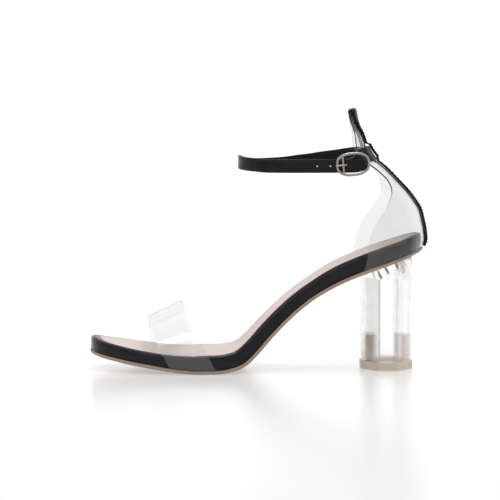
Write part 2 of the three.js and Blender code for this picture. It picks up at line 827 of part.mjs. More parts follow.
function bucklePlace(turn) {
  const angle = 2 * Math.PI * turn;
  const power = 2 / buckleRoundness;
  const along = Math.sign(Math.cos(angle)) * Math.abs(Math.cos(angle)) ** power;
  const up = Math.sign(Math.sin(angle)) * Math.abs(Math.sin(angle)) ** power;
  const reach = buckleLength / 2 - buckleWire;
  const rise = buckleHeight / 2 - buckleWire;
  return onStrap(reach * along, rise * up, gap + buckleWire);
}

function wire(path, radius, steps) {
  const section = new THREE.Shape();
  const corners = 8;
  for (let k = 0; k < corners; k += 1) {
    const angle = (2 * Math.PI * k) / corners;
    const point = [radius * Math.cos(angle), radius * Math.sin(angle)];
    if (k === 0) {
      section.moveTo(...point);
    } else {
      section.lineTo(...point);
    }
  }
  return new THREE.ExtrudeGeometry(section, { steps, extrudePath: path, bevelEnabled: false });
}

function buckleGeometry() {
  const corners = 8;
  const frame = ring(36, corners, (turn, k) => {
    const centre = bucklePlace(turn);
    const along = bucklePlace(turn + 0.004).sub(bucklePlace(turn - 0.004)).normalize();
    const inward = bucklePlace(turn + 0.5).sub(centre).projectOnPlane(along).normalize();
    const outward = along.clone().cross(inward);
    const angle = (2 * Math.PI * k) / corners;
    centre.addScaledVector(inward, buckleWire * Math.cos(angle));
    return centre.addScaledVector(outward, buckleWire * Math.sin(angle));
  });
  const end = -(buckleLength / 2 - buckleWire);
  const tall = buckleHeight / 2 - buckleWire;
  const level = gap + buckleWire;
  const bow = new THREE.QuadraticBezierCurve3(
    onStrap(end / 1.6, -tall * 0.95, level),
    onStrap(end + buckleInnerBow / 2, 0, level),
    onStrap(end / 1.6, tall * 0.95, level),
  );
  return fromSolid(toSolid(frame).add(toSolid(wire(bow, buckleWire * 0.9, 12))));
}

// Prong: out of its hole in the strap and over the front end of the frame
function prongGeometry() {
  const tip = -buckleLength / 2;
  const over = 2 * buckleWire + 2 * gap + prongRadius;
  const path = new THREE.CatmullRomCurve3([
    onStrap(tip + prongLength, 0, prongRadius + gap),
    onStrap(tip + prongLength * 0.7, 0, over),
    onStrap(tip, 0, over),
  ]);
  return wire(path, prongRadius, 8);
}

// Materials
const tan = { color: 0xa38a78, roughness: 0.6, metalness: 0 };
const patent = { color: 0x141316, roughness: 0.2, metalness: 0 };
const beige = { color: 0xd9cfc8, roughness: 0.7, metalness: 0 };
const clear = { color: 0xe8edf0, roughness: 0.06, metalness: 0, transparent: true, opacity: 0.3 };
const acrylic = { color: 0xe6eaec, roughness: 0.04, metalness: 0, transparent: true, opacity: 0.4 };
const rubber = { color: 0xb8a98f, roughness: 0.4, metalness: 0 };
const steel = { color: 0x8f8a86, roughness: 0.3, metalness: 1 };

const shoe = new THREE.Group();

function place(name, geometry, look) {
  geometry.computeVertexNormals();
  const mesh = new THREE.Mesh(geometry, new THREE.MeshStandardMaterial(look));
  mesh.name = name;
  shoe.add(mesh);
}

place("outsole", outsoleGeometry(), tan);
place("platform", platformGeometry(), patent);
place("insole", insoleGeometry(), beige);
place("toe_band", bandGeometry(), clear);
place("heel_quarter", quarterGeometry(), clear);
place("seam_strip", stripGeometry(), patent);
place("ankle_strap", strapGeometry(), patent);
place("buckle_frame", buckleGeometry(), steel);
place("buckle_prong", prongGeometry(), steel);
place("heel_block", heelGeometry(), acrylic);
place("top_lift", liftGeometry(), rubber);
nails.forEach((nail, i) => place(`heel_nail_${i + 1}`, nailGeometry(nail, 0), steel));

// The origin is under the middle of the shoe, on the floor
const box = new THREE.Box3().setFromObject(shoe);
shoe.position.set(-(box.min.x + box.max.x) / 2, -(box.min.y + box.max.y) / 2, -box.min.z);

const group = new THREE.Group();
group.add(shoe);
export default group;
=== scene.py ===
import bisect
import math

import bmesh
import bpy
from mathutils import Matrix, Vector, noise


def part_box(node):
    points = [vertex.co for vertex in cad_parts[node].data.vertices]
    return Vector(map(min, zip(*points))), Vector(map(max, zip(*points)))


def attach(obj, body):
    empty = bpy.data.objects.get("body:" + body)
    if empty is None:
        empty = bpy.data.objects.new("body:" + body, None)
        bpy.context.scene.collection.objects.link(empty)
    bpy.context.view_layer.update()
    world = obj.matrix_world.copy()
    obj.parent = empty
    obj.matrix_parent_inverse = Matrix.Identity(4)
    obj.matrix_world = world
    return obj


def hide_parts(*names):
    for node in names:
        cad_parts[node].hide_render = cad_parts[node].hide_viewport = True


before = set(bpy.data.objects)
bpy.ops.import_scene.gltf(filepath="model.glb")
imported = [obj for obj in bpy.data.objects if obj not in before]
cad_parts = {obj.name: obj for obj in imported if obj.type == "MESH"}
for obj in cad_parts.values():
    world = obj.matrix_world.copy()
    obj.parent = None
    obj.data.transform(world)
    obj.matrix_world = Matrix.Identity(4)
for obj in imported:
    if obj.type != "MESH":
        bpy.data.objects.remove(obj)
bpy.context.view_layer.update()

# Block heel sandal, the left shoe. Lengths are typed in millimetres and places along the sole
# are measured from the toe tip; onFrame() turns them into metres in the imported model's frame.

outsoleLow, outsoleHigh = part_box("outsole")
gap = 0.3           # clearance between pieces that meet
clearThickness = 1  # sheet of the band and the quarter


# Small helpers

tangentStore = {}


def tangentsOf(rows, column):
    # slopes for a smooth curve that doesn't overshoot between its rows
    key = (id(rows), column)
    if key not in tangentStore:
        slopes = [(b[column] - a[column]) / (b[0] - a[0]) for a, b in zip(rows, rows[1:])]
        inner = [0 if a * b <= 0 else 2 * a * b / (a + b) for a, b in zip(slopes, slopes[1:])]
        tangentStore[key] = [slopes[0]] + inner + [slopes[-1]], [row[0] for row in rows]
    return tangentStore[key]


def readTable(rows, at, column=1):
    tangents, places = tangentsOf(rows, column)
    place = min(max(at, places[0]), places[-1])
    row = min(max(bisect.bisect_left(places, place) - 1, 0), len(rows) - 2)
    span = places[row + 1] - places[row]
    s = (place - places[row]) / span
    return ((1 + 2 * s) * (1 - s) ** 2 * rows[row][column]
            + s * s * (3 - 2 * s) * rows[row + 1][column]
            + s * (1 - s) ** 2 * span * tangents[row]
            + s * s * (s - 1) * span * tangents[row + 1])


def mix(a, b, t):
    return a + (b - a) * t


def smooth(value, low, high):
    t = min(max((value - low) / (high - low), 0), 1)
    return t * t * (3 - 2 * t)


def signedPower(value, power):
    return math.copysign(abs(value) ** power, value)


def finishPiece(piece, material, slotName, *nodes, shade=True):
    piece.data.materials.append(material)
    bpy.context.scene.collection.objects.link(piece)
    if shade and piece.type == "MESH":
        for face in piece.data.polygons:
            face.use_smooth = True
    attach(piece, "root")
    if nodes:
        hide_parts(*nodes)
    return piece


def meshPiece(name, points, faces, material, slotName, *nodes, shade=True):
    # mesh from points in millimetres; doubles are welded and the faces turned outwards
    mesh = bpy.data.meshes.new(name)
    mesh.from_pydata([onFrame(p) for p in points], [], faces)
    work = bmesh.new()
    work.from_mesh(mesh)
    bmesh.ops.remove_doubles(work, verts=work.verts, dist=0.000001)
    bmesh.ops.dissolve_degenerate(work, edges=work.edges, dist=0.000001)
    bmesh.ops.recalc_face_normals(work, faces=work.faces)
    work.to_mesh(mesh)
    work.free()
    return finishPiece(bpy.data.objects.new(name, mesh), material, slotName, *nodes, shade=shade)


def cutterPiece(name, points, faces):
    # plain helper solid for a cut; it is removed again once the cut is made
    mesh = bpy.data.meshes.new(name)
    mesh.from_pydata([onFrame(p) for p in points], [], faces)
    cutter = bpy.data.objects.new(name, mesh)
    bpy.context.scene.collection.objects.link(cutter)
    return cutter


def settle(piece):
    # apply the piece's modifiers to its mesh
    settled = bpy.data.meshes.new_from_object(piece.evaluated_get(bpy.context.evaluated_depsgraph_get()))
    piece.modifiers.clear()
    piece.data = settled


def addBevel(piece, width, segments=2, angle=40):
    bevel = piece.modifiers.new("edgeRound", "BEVEL")
    bevel.width = width / 1000
    bevel.segments = segments
    bevel.limit_method = "ANGLE"
    bevel.angle_limit = math.radians(angle)
    bevel.harden_normals = True
    return bevel


def closedSheet(uSteps, vSteps, pointAt):
    # sheet with an outer face 0, an inner face 1 and four edges
    points, faces = [], []
    wide = vSteps + 1
    for side in (0, 1):
        for i in range(uSteps + 1):
            for j in range(vSteps + 1):
                points.append(pointAt(i / uSteps, j / vSteps, side))
    inner = (uSteps + 1) * wide

    def at(i, j, side):
        return side * inner + i * wide + j

    for i in range(uSteps):
        for j in range(vSteps):
            faces.append((at(i, j, 0), at(i + 1, j, 0), at(i + 1, j + 1, 0), at(i, j + 1, 0)))
            faces.append((at(i, j, 1), at(i, j + 1, 1), at(i + 1, j + 1, 1), at(i + 1, j, 1)))
    for i in range(uSteps):
        faces.append((at(i, 0, 1), at(i + 1, 0, 1), at(i + 1, 0, 0), at(i, 0, 0)))
        faces.append((at(i, vSteps, 0), at(i + 1, vSteps, 0), at(i + 1, vSteps, 1), at(i, vSteps, 1)))
    for j in range(vSteps):
        faces.append((at(0, j, 0), at(0, j + 1, 0), at(0, j + 1, 1), at(0, j, 1)))
        faces.append((at(uSteps, j, 1), at(uSteps, j + 1, 1), at(uSteps, j + 1, 0), at(uSteps, j, 0)))
    return points, faces


def closedRing(steps, corners, pointAt):
    # closed loop of a section with so many corners
    points = [pointAt(i / steps, k) for i in range(steps) for k in range(corners)]
    faces = []
    for i in range(steps):
        following = (i + 1) % steps
        for k in range(corners):
            after = (k + 1) % corners
            faces.append((i * corners + k, following * corners + k,
                          following * corners + after, i * corners + after))
    return points, faces


def sweptTube(path, radiusAt, corners=12):
    # round tube with closed ends along a list of points
    points, faces = [], []
    side = None
    for i, here in enumerate(path):
        ahead = (path[min(i + 1, len(path) - 1)] - path[max(i - 1, 0)]).normalized()
        if side is None:
            side = ahead.orthogonal().normalized()
        side = (side - ahead * side.dot(ahead)).normalized()
        other = ahead.cross(side)
        for k in range(corners):
            angle = 2 * math.pi * k / corners
            points.append(here + (side * math.cos(angle) + other * math.sin(angle)) * radiusAt(i / (len(path) - 1)))
    for i in range(len(path) - 1):
        for k in range(corners):
            after = (k + 1) % corners
            faces.append((i * corners + k, i * corners + after, (i + 1) * corners + after, (i + 1) * corners + k))
    faces.append(tuple(range(corners - 1, -1, -1)))
    faces.append(tuple((len(path) - 1) * corners + k for k in range(corners)))
    return points, faces


def surfaceNormal(pointAt, u, v, towards):
    step = 0.002
    alongU = pointAt(u + step, v) - pointAt(u - step, v)
    alongV = pointAt(u, v + step) - pointAt(u, v - step)
    normal = alongU.cross(alongV).normalized()
    return -normal if normal.dot(towards) < 0 else normal


# Shared effects of the finishes

def newGroup(name, inputs, outputs):
    group = bpy.data.node_groups.new(name, "ShaderNodeTree")
    for label, kind, value in inputs:
        socket = group.interface.new_socket(name=label, in_out="INPUT", socket_type=kind)
        if value is not None:
            socket.default_value = value
    for label, kind in outputs:
        group.interface.new_socket(name=label, in_out="OUTPUT", socket_type=kind)
    start = group.nodes.new("NodeGroupInput")
    end = group.nodes.new("NodeGroupOutput")
    return group, start, end


def makeGrainGroup():
    # fine leather cells and slow waves, as a normal
    group, start, end = newGroup(
        "leatherGrain",
        [("Cell Scale", "NodeSocketFloat", 900), ("Cell Depth", "NodeSocketFloat", 0.2),
         ("Wave Scale", "NodeSocketFloat", 60), ("Wave Depth", "NodeSocketFloat", 0.3)],
        [("Normal", "NodeSocketVector"), ("Cells", "NodeSocketFloat")])
    nodes, links = group.nodes, group.links
    place = nodes.new("ShaderNodeTexCoord")
    cells = nodes.new("ShaderNodeTexVoronoi")
    cells.feature = "SMOOTH_F1"
    waves = nodes.new("ShaderNodeTexNoise")
    waves.inputs["Detail"].default_value = 3
    cellBump = nodes.new("ShaderNodeBump")
    cellBump.inputs["Distance"].default_value = 0.0002
    waveBump = nodes.new("ShaderNodeBump")
    waveBump.inputs["Distance"].default_value = 0.001
    links.new(place.outputs["Object"], cells.inputs["Vector"])
    links.new(place.outputs["Object"], waves.inputs["Vector"])
    links.new(start.outputs["Cell Scale"], cells.inputs["Scale"])
    links.new(start.outputs["Wave Scale"], waves.inputs["Scale"])
    links.new(start.outputs["Wave Depth"], waveBump.inputs["Strength"])
    links.new(waves.outputs["Fac"], waveBump.inputs["Height"])
    links.new(start.outputs["Cell Depth"], cellBump.inputs["Strength"])
    links.new(cells.outputs["Distance"], cellBump.inputs["Height"])
    links.new(waveBump.outputs["Normal"], cellBump.inputs["Normal"])
    links.new(cellBump.outputs["Normal"], end.inputs["Normal"])
    links.new(cells.outputs["Distance"], end.inputs["Cells"])
    return group


def makeWearGroup():
    # uneven gloss and faint blotches between two colours
    group, start, end = newGroup(
        "softWear",
        [("Scale", "NodeSocketFloat", 80), ("Low Roughness", "NodeSocketFloat", 0.2),
         ("High Roughness", "NodeSocketFloat", 0.4), ("Colour", "NodeSocketColor", (1, 1, 1, 1)),
         ("Worn Colour", "NodeSocketColor", (1, 1, 1, 1))],
        [("Color", "NodeSocketColor"), ("Roughness", "NodeSocketFloat")])
    nodes, links = group.nodes, group.links
    place = nodes.new("ShaderNodeTexCoord")
    patches = nodes.new("ShaderNodeTexNoise")
    patches.inputs["Detail"].default_value = 6
    patches.inputs["Roughness"].default_value = 0.6
    spread = nodes.new("ShaderNodeMapRange")
    spread.inputs["From Min"].default_value = 0.35
    spread.inputs["From Max"].default_value = 0.65
    roughness = nodes.new("ShaderNodeMapRange")
    colours = nodes.new("ShaderNodeMix")
    colours.data_type = "RGBA"
    links.new(place.outputs["Object"], patches.inputs["Vector"])
    links.new(start.outputs["Scale"], patches.inputs["Scale"])
    links.new(patches.outputs["Fac"], spread.inputs["Value"])
    links.new(spread.outputs["Result"], roughness.inputs["Value"])
    links.new(start.outputs["Low Roughness"], roughness.inputs["To Min"])
    links.new(start.outputs["High Roughness"], roughness.inputs["To Max"])
    links.new(spread.outputs["Result"], colours.inputs["Factor"])
    links.new(start.outputs["Colour"], colours.inputs[6])
    links.new(start.outputs["Worn Colour"], colours.inputs[7])
    links.new(colours.outputs[2], end.inputs["Color"])
    links.new(roughness.outputs["Result"], end.inputs["Roughness"])
    return group


grainGroup = makeGrainGroup()
wearGroup = makeWearGroup()


def makeFinish(name, look):
    # one Principled shader with its own wear and grain; fixed values sit on the shader's sockets
    material = bpy.data.materials.new(name)
    material.use_nodes = True
    nodes, links = material.node_tree.nodes, material.node_tree.links
    shader = nodes["Principled BSDF"]
    for socket, value in look.get("shader", {}).items():
        shader.inputs[socket].default_value = value
    wear = nodes.new("ShaderNodeGroup")
    wear.node_tree = wearGroup
    wear.inputs["Scale"].default_value = look["wearScale"]
    wear.inputs["Low Roughness"].default_value = look["roughness"][0]
    wear.inputs["High Roughness"].default_value = look["roughness"][1]
    wear.inputs["Colour"].default_value = (*look["colour"], 1)
    wear.inputs["Worn Colour"].default_value = (*look["wornColour"], 1)
    links.new(wear.outputs["Color"], shader.inputs["Base Color"])
    links.new(wear.outputs["Roughness"], shader.inputs["Roughness"])
    if "grain" in look:
        grain = nodes.new("ShaderNodeGroup")
        grain.node_tree = grainGroup
        for socket, value in look["grain"].items():
            grain.inputs[socket].default_value = value
        links.new(grain.outputs["Normal"], shader.inputs["Normal"])
    return material


patentLook = {
    "colour": (0.009, 0.0085, 0.011), "wornColour": (0.013, 0.012, 0.015),
    "roughness": (0.25, 0.36), "wearScale": 120,
    "grain": {"Cell Scale": 1100, "Cell Depth": 0.1, "Wave Scale": 90, "Wave Depth": 0.14},
    "shader": {"Specular IOR Level": 0.12, "Coat Weight": 0.35, "Coat Roughness": 0.05, "Coat IOR": 1.35},
}
strapLook = {
    "colour": (0.009, 0.0083, 0.0085), "wornColour": (0.014, 0.0128, 0.0135),
    "roughness": (0.34, 0.5), "wearScale": 150,
    "grain": {"Cell Scale": 1400, "Cell Depth": 0.35, "Wave Scale": 120, "Wave Depth": 0.25},
    "shader": {"Specular IOR Level": 0.12, "Coat Weight": 0.2, "Coat Roughness": 0.14, "Coat IOR": 1.35},
}
# grey for the strip's face against the clear sheet: painted sheen, not the strip's own colour
paintedSheenLook = {
    "colour": (0.2, 0.19, 0.185), "wornColour": (0.26, 0.25, 0.24),
    "roughness": (0.75, 0.9), "wearScale": 300,
    "grain": {"Cell Scale": 2500, "Cell Depth": 0.4, "Wave Scale": 400, "Wave Depth": 0.2},
}
insoleLook = {
    "colour": (0.62, 0.52, 0.475), "wornColour": (0.67, 0.575, 0.53),
    "roughness": (0.55, 0.7), "wearScale": 60,
    "grain": {"Cell Scale": 1300, "Cell Depth": 0.25, "Wave Scale": 70, "Wave Depth": 0.12},
}
outsoleLook = {
    "colour": (0.34, 0.245, 0.19), "wornColour": (0.39, 0.29, 0.23),
    "roughness": (0.45, 0.65), "wearScale": 110,
    "grain": {"Cell Scale": 1800, "Cell Depth": 0.15, "Wave Scale": 130, "Wave Depth": 0.15},
}
liftLook = {
    "colour": (0.66, 0.56, 0.465), "wornColour": (0.71, 0.62, 0.53),
    "roughness": (0.3, 0.45), "wearScale": 140,
    "grain": {"Cell Scale": 900, "Cell Depth": 0.05, "Wave Scale": 60, "Wave Depth": 0.2},
    "shader": {"Subsurface Weight": 0.25, "Subsurface Scale": 0.004, "Subsurface Radius": (1, 0.8, 0.6)},
}
bandLook = {
    "colour": (0.95, 0.955, 0.955), "wornColour": (0.93, 0.935, 0.94),
    "roughness": (0.015, 0.05), "wearScale": 45,
    "grain": {"Cell Scale": 200, "Cell Depth": 0, "Wave Scale": 30, "Wave Depth": 0.04},
    "shader": {"Transmission Weight": 1, "IOR": 1.5},
}
quarterLook = {
    "colour": (0.895, 0.897, 0.895), "wornColour": (0.87, 0.872, 0.87),
    "roughness": (0.015, 0.05), "wearScale": 40,
    "grain": {"Cell Scale": 200, "Cell Depth": 0, "Wave Scale": 30, "Wave Depth": 0.05},
    "shader": {"Transmission Weight": 1, "IOR": 1.5},
}
acrylicLook = {
    "colour": (0.975, 0.975, 0.97), "wornColour": (0.955, 0.955, 0.95),
    "roughness": (0.0, 0.02), "wearScale": 30,
    "grain": {"Cell Scale": 200, "Cell Depth": 0, "Wave Scale": 25, "Wave Depth": 0.02},
    "shader": {"Transmission Weight": 1, "IOR": 1.4, "Alpha": 0.5},
}
metalLook = {
    "colour": (0.42, 0.385, 0.36), "wornColour": (0.34, 0.305, 0.28),
    "roughness": (0.22, 0.36), "wearScale": 400,
    "grain": {"Cell Scale": 900, "Cell Depth": 0.05, "Wave Scale": 500, "Wave Depth": 0.1},
    "shader": {"Metallic": 1},
}
threadLook = {
    "colour": (0.016, 0.015, 0.017), "wornColour": (0.03, 0.028, 0.03),
    "roughness": (0.5, 0.7), "wearScale": 900,
}

patentBlack = makeFinish("patentBlack", patentLook)
strapBlack = makeFinish("strapBlack", strapLook)
# painted sheen for the strip's face against the clear sheet
stripPaintedSheen = makeFinish("stripPaintedSheen", paintedSheenLook)
holePale = makeFinish("holePale", insoleLook)
insoleBeige = makeFinish("insoleBeige", insoleLook)
outsoleTan = makeFinish("outsoleTan", outsoleLook)
liftTan = makeFinish("liftTan", liftLook)
clearBand = makeFinish("clearBand", bandLook)
clearQuarter = makeFinish("clearQuarter", quarterLook)
clearBlock = makeFinish("clearBlock", acrylicLook)
buckleMetal = makeFinish("buckleMetal", metalLook)
blackThread = makeFinish("blackThread", threadLook)
print("finishes made")


# Sole

sole = {
    "length": 218, "ballWidth": 79, "waistWidth": 47, "seatWidth": 54,
    "toeSpring": 12.2, "heelRise": 78, "treadFront": 68, "treadBack": 82,
    "toeUpright": 30, "backUpright": 34, "outlineSteps": 110,
    # share of treadFront, share of toeSpring
    "toeCurve": [(0, 0.88), (0.06, 0.79), (0.12, 0.71), (0.216, 0.615), (0.37, 0.459), (0.522, 0.328),
                 (0.674, 0.197), (0.825, 0.08), (1, 0)],
    # share of the way back from the tread, share of heelRise
    "archCurve": [(0, 0), (0.037, 0.005), (0.074, 0.018), (0.1125, 0.036), (0.151, 0.073), (0.189, 0.133),
                  (0.227, 0.205), (0.265, 0.28), (0.343, 0.418), (0.419, 0.534), (0.496, 0.63),
                  (0.571, 0.704), (0.647, 0.766), (0.723, 0.818), (0.799, 0.866), (0.876, 0.914),
                  (0.9375, 0.956), (1, 1)],
    # share of the length, width it belongs to, lateral and medial shares
    "outline": [(0, "ballWidth", -0.025, 0.025), (0.014, "ballWidth", 0.152, 0.177),
                (0.037, "ballWidth", 0.241, 0.266), (0.069, "ballWidth", 0.316, 0.342),
                (0.115, "ballWidth", 0.392, 0.405), (0.183, "ballWidth", 0.456, 0.456),
                (0.252, "ballWidth", 0.494, 0.481), (0.321, "ballWidth", 0.519, 0.481),
                (0.39, "ballWidth", 0.506, 0.456), (0.459, "ballWidth", 0.456, 0.399),
                (0.528, "waistWidth", 0.66, 0.564), (0.596, "waistWidth", 0.574, 0.489),
                (0.665, "waistWidth", 0.536, 0.468), (0.734, "seatWidth", 0.472, 0.435),
                (0.803, "seatWidth", 0.491, 0.472), (0.872, "seatWidth", 0.5, 0.491),
                (0.917, "seatWidth", 0.472, 0.472), (0.954, "seatWidth", 0.398, 0.398),
                (0.982, "seatWidth", 0.259, 0.259), (1, "seatWidth", 0, 0)],
}

shiftX = outsoleLow.x * 1000
shiftY = outsoleLow.y * 1000 + 0.519 * sole["ballWidth"]


def onFrame(point):
    return ((point[0] + shiftX) / 1000, (point[1] + shiftY) / 1000, point[2] / 1000)


def soleLine(x):
    if x < sole["treadFront"]:
        return sole["toeSpring"] * readTable(sole["toeCurve"], x / sole["treadFront"])
    along = (x - sole["treadBack"]) / (sole["length"] - sole["treadBack"])
    return sole["heelRise"] * readTable(sole["archCurve"], along)


def soleLean(x):
    return math.atan(soleLine(x + 0.5) - soleLine(x - 0.5))


def onSole(x, y, height):
    # above the underside and square to it, but upright at both ends
    lean = soleLean(x) * smooth(x, 0, sole["toeUpright"]) * smooth(sole["length"] - x, 0, sole["backUpright"])
    return Vector((x - math.sin(lean) * height, y, soleLine(x) + math.cos(lean) * height))


def byAngle(share):
    return math.acos(1 - 2 * min(max(share, 0), 1)) / math.pi


outlineRows = [(byAngle(at), sole[width] * lateral, sole[width] * medial)
               for at, width, lateral, medial in sole["outline"]]


def halfWidth(side, x):
    return readTable(outlineRows, byAngle(x / sole["length"]), 1 if side == "lateral" else 2)


planPoints = []
for i in range(2 * sole["outlineSteps"]):
    side = "lateral" if i <= sole["outlineSteps"] else "medial"
    step = i if side == "lateral" else 2 * sole["outlineSteps"] - i
    x = sole["length"] * (1 - math.cos(math.pi * step / sole["outlineSteps"])) / 2
    planPoints.append(Vector((x, halfWidth(side, x) * (-1 if side == "lateral" else 1))))


def planInset(i, inset):
    before, after = planPoints[i - 1], planPoints[(i + 1) % len(planPoints)]
    inward = Vector((before.y - after.y, after.x - before.x)).normalized()
    return planPoints[i] + inward * inset


def soleLayer(rings, across=10, relief=None):
    # rings of the plan outline, as (inset, height) from the lower rim up, closed across both
    count = len(planPoints)
    ringPoints = []
    for inset, height in rings:
        ring = []
        for i, place in enumerate(planPoints):
            plan = planInset(i, inset(place.x) if callable(inset) else inset)
            ring.append(onSole(plan.x, plan.y, height(place.x) if callable(height) else height))
        ringPoints.append(ring)
    points = [p for ring in ringPoints for p in ring]
    faces = []
    for r in range(len(rings) - 1):
        for i in range(count):
            following = (i + 1) % count
            faces.append((r * count + i, r * count + following,
                          (r + 1) * count + following, (r + 1) * count + i))
    for ring, lift in ((ringPoints[0], None), (ringPoints[-1], relief)):
        for i in range(sole["outlineSteps"]):
            for k in range(across):
                corners = [(i, k), (i + 1, k), (i + 1, k + 1), (i, k + 1)]
                faces.append(tuple(range(len(points), len(points) + 4)))
                for step, part in corners:
                    point = ring[step].lerp(ring[(count - step) % count], part / across)
                    if lift:
                        point = point + Vector((0, 0, lift(point.x, part / across, step)))
                    points.append(point)
    return points, faces


outsole = {"thickness": 2.1, "edgeRadius": 0.7}


def edgeArc(radius, start, end, steps, inset, height):
    # quarter round of an edge: angles in quarter turns, 0 is the side face and 1 the flat face
    return [(inset(radius * (1 - math.cos(math.pi / 2 * mix(start, end, i / steps)))),
             height(radius * (1 - math.sin(math.pi / 2 * mix(start, end, i / steps)))))
            for i in range(steps + 1)]


def makeOutsole():
    edge = outsole["edgeRadius"]
    top = outsole["thickness"]
    rings = edgeArc(edge, 1, 0, 4, lambda a: a, lambda b: b)
    rings += edgeArc(edge / 2, 0, 1, 3, lambda a: a, lambda b: top - b)
    points, faces = soleLayer(rings)
    return meshPiece("outsoleSheet", points, faces, outsoleTan, "outsole_tan", "outsole")


platform = {
    "thickness": 9.6, "edgeRadius": 2.8, "footRadius": 0.5, "rimWidth": 3, "toeRimWidth": 5.5,
    "toeRimLength": 16, "toeFlush": 34, "wrapRipple": 0.1,
    # share of the length, share of the thickness
    "form": [(0, 0.96), (0.03, 0.88), (0.07, 0.83), (0.18, 0.81), (0.26, 0.875), (0.36, 1), (0.46, 0.97),
             (0.53, 0.89), (0.67, 0.89), (0.76, 1), (0.88, 1.05), (1, 1.05)],
}
insole = {"thickness": 1, "edgeRadius": 0.45, "crown": 0.25}

platformFoot = outsole["thickness"] + gap
bedDepth = insole["thickness"] + gap


def platformTop(x):
    return platformFoot + platform["thickness"] * readTable(platform["form"], x / sole["length"])


def platformInset(x):
    # flush at the toe, set back under the clear sheets
    return mix(gap, clearThickness + gap, smooth(x, 0, platform["toeFlush"]))


def bedInset(x):
    return platformInset(x) + mix(platform["toeRimWidth"], platform["rimWidth"],
                               smooth(x, 0, platform["toeRimLength"]))


def makePlatform():
    edge, foot = platform["edgeRadius"], platform["footRadius"]
    rings = []
    for i in range(4):
        turn = math.pi / 2 * i / 3
        rings.append((lambda x, t=turn: platformInset(x) + foot * (1 - math.sin(t)),
                      platformFoot + foot * (1 - math.cos(turn))))
    for share in (0.3, 0.5, 0.7):
        rings.append((platformInset, lambda x, s=share: mix(platformFoot + foot, platformTop(x) - edge, s)))
    for i in range(7):
        turn = math.pi / 2 * i / 6
        rings.append((lambda x, t=turn: platformInset(x) + edge * (1 - math.cos(t)),
                      lambda x, t=turn: platformTop(x) - edge * (1 - math.sin(t))))
    lip = 0.35
    rings.append((lambda x: bedInset(x) - lip, platformTop))
    rings.append((lambda x: bedInset(x) - lip * 0.3, lambda x: platformTop(x) - lip * 0.3))
    rings.append((bedInset, lambda x: platformTop(x) - lip))
    rings.append((bedInset, lambda x: platformTop(x) - bedDepth))
    points, faces = soleLayer(rings)
    piece = meshPiece("platformWrap", points, faces, patentBlack, "patent_black", "platform")
    for vertex in piece.data.vertices:
        ripple = noise.noise(Vector(vertex.co) * 90) * platform["wrapRipple"] / 1000
        vertex.co += vertex.normal * min(ripple, 0)
    return piece


def makeInsole():
    edge = insole["edgeRadius"]

    def inset(x):
        return bedInset(x) + gap

    def crown(x, across, step):
        ends = smooth(step, 0, 12) * smooth(sole["outlineSteps"] - step, 0, 12)
        return insole["crown"] * math.sin(math.pi * across) * ends

    rings = [(inset, lambda x: platformTop(x) - bedDepth + gap)]
    for i in range(5):
        turn = math.pi / 2 * i / 4
        rings.append((lambda x, t=turn: inset(x) + edge * (1 - math.cos(t)),
                      lambda x, t=turn: platformTop(x) - edge * (1 - math.sin(t))))
    points, faces = soleLayer(rings, relief=crown)
    return meshPiece("insoleSheet", points, faces, insoleBeige, "insole_beige", "insole")


makeOutsole()
makePlatform()
makeInsole()
print("sole made")


# Block heel

heel = {
    "front": 177.7, "length": 32.7, "breadth": 45, "cutAlong": 9.8, "cutAcross": 14.5,
    "liftThickness": 5.3, "liftOverhang": 0.5, "edgeRadius": 0.4, "wall": 3, "ceiling": 59.4,
    "pegHeight": 17, "pegLength": 6.5, "pegBreadth": 20,
    "nailRadius": 1, "nailLength": 8, "nailTilt": 8,
    # shares of the heel's length and breadth
    "nails": [(0.3, -0.16), (0.48, 0.18), (0.69, -0.18), (0.86, 0.1)],
}
heelMiddle = heel["front"] + heel["length"] / 2


def eightSided(grow):
    # outline of the heel, grown evenly; the slanted sides keep their distance too
    along, across = heel["length"] / 2 + grow, heel["breadth"] / 2 + grow
    slant = math.hypot(heel["cutAlong"], heel["cutAcross"])
    spare = (heel["cutAlong"] + heel["cutAcross"] - slant) * grow
    nearAlong = along - heel["cutAlong"] - spare / heel["cutAcross"]
    nearAcross = across - heel["cutAcross"] - spare / heel["cutAlong"]
    return [(along, -nearAcross), (along, nearAcross), (nearAlong, across), (-nearAlong, across),
            (-along, nearAcross), (-along, -nearAcross), (-nearAlong, -across), (nearAlong, -across)]


def prism(corners, lowAt, highAt):
    # upright column; the ends follow lowAt(x) and highAt(x)
    count = len(corners)
    points = [Vector((x, y, lowAt(x))) for x, y in corners]
    points += [Vector((x, y, highAt(x))) for x, y in corners]
    faces = [(i, (i + 1) % count, count + (i + 1) % count, count + i) for i in range(count)]
    faces += [tuple(range(count - 1, -1, -1)), tuple(range(count, 2 * count))]
    return points, faces


def seatAt(x):
    # underside of the sole over the heel, as a height on the block
    return onSole(x, 0, 0).z - gap / math.cos(soleLean(x))


def makeHeelBlock():
    foot = heel["liftThickness"] + gap
    outer = [(heelMiddle + x, y) for x, y in eightSided(0)]
    points, faces = prism(outer, lambda x: foot, seatAt)
    block = meshPiece("heelBlockClear", points, faces, clearBlock, "clear_block", "heel_block", shade=False)
    inner = [(heelMiddle + x, y) for x, y in eightSided(-heel["wall"])]
    points, faces = prism(inner, lambda x: foot - 5, lambda x: heel["ceiling"])
    cutters = [cutterPiece("heelHollowCutter", points, faces)]
    for number, nail in enumerate(heel["nails"], 1):
        path, down = nailPath(nail, 1)
        points, faces = sweptTube([path[0] - down, path[-1] + down * 3], lambda t: heel["nailRadius"] + gap, 20)
        cutters.append(cutterPiece(f"nailBoreCutter{number}", points, faces))
    for cutter in cutters:
        cut = block.modifiers.new(cutter.name, "BOOLEAN")
        cut.object = cutter
        cut.operation = "DIFFERENCE"
        cut.solver = "EXACT"
    settle(block)
    for cutter in cutters:
        bpy.data.objects.remove(cutter)
    addBevel(block, heel["edgeRadius"], 2, 30)
    return block


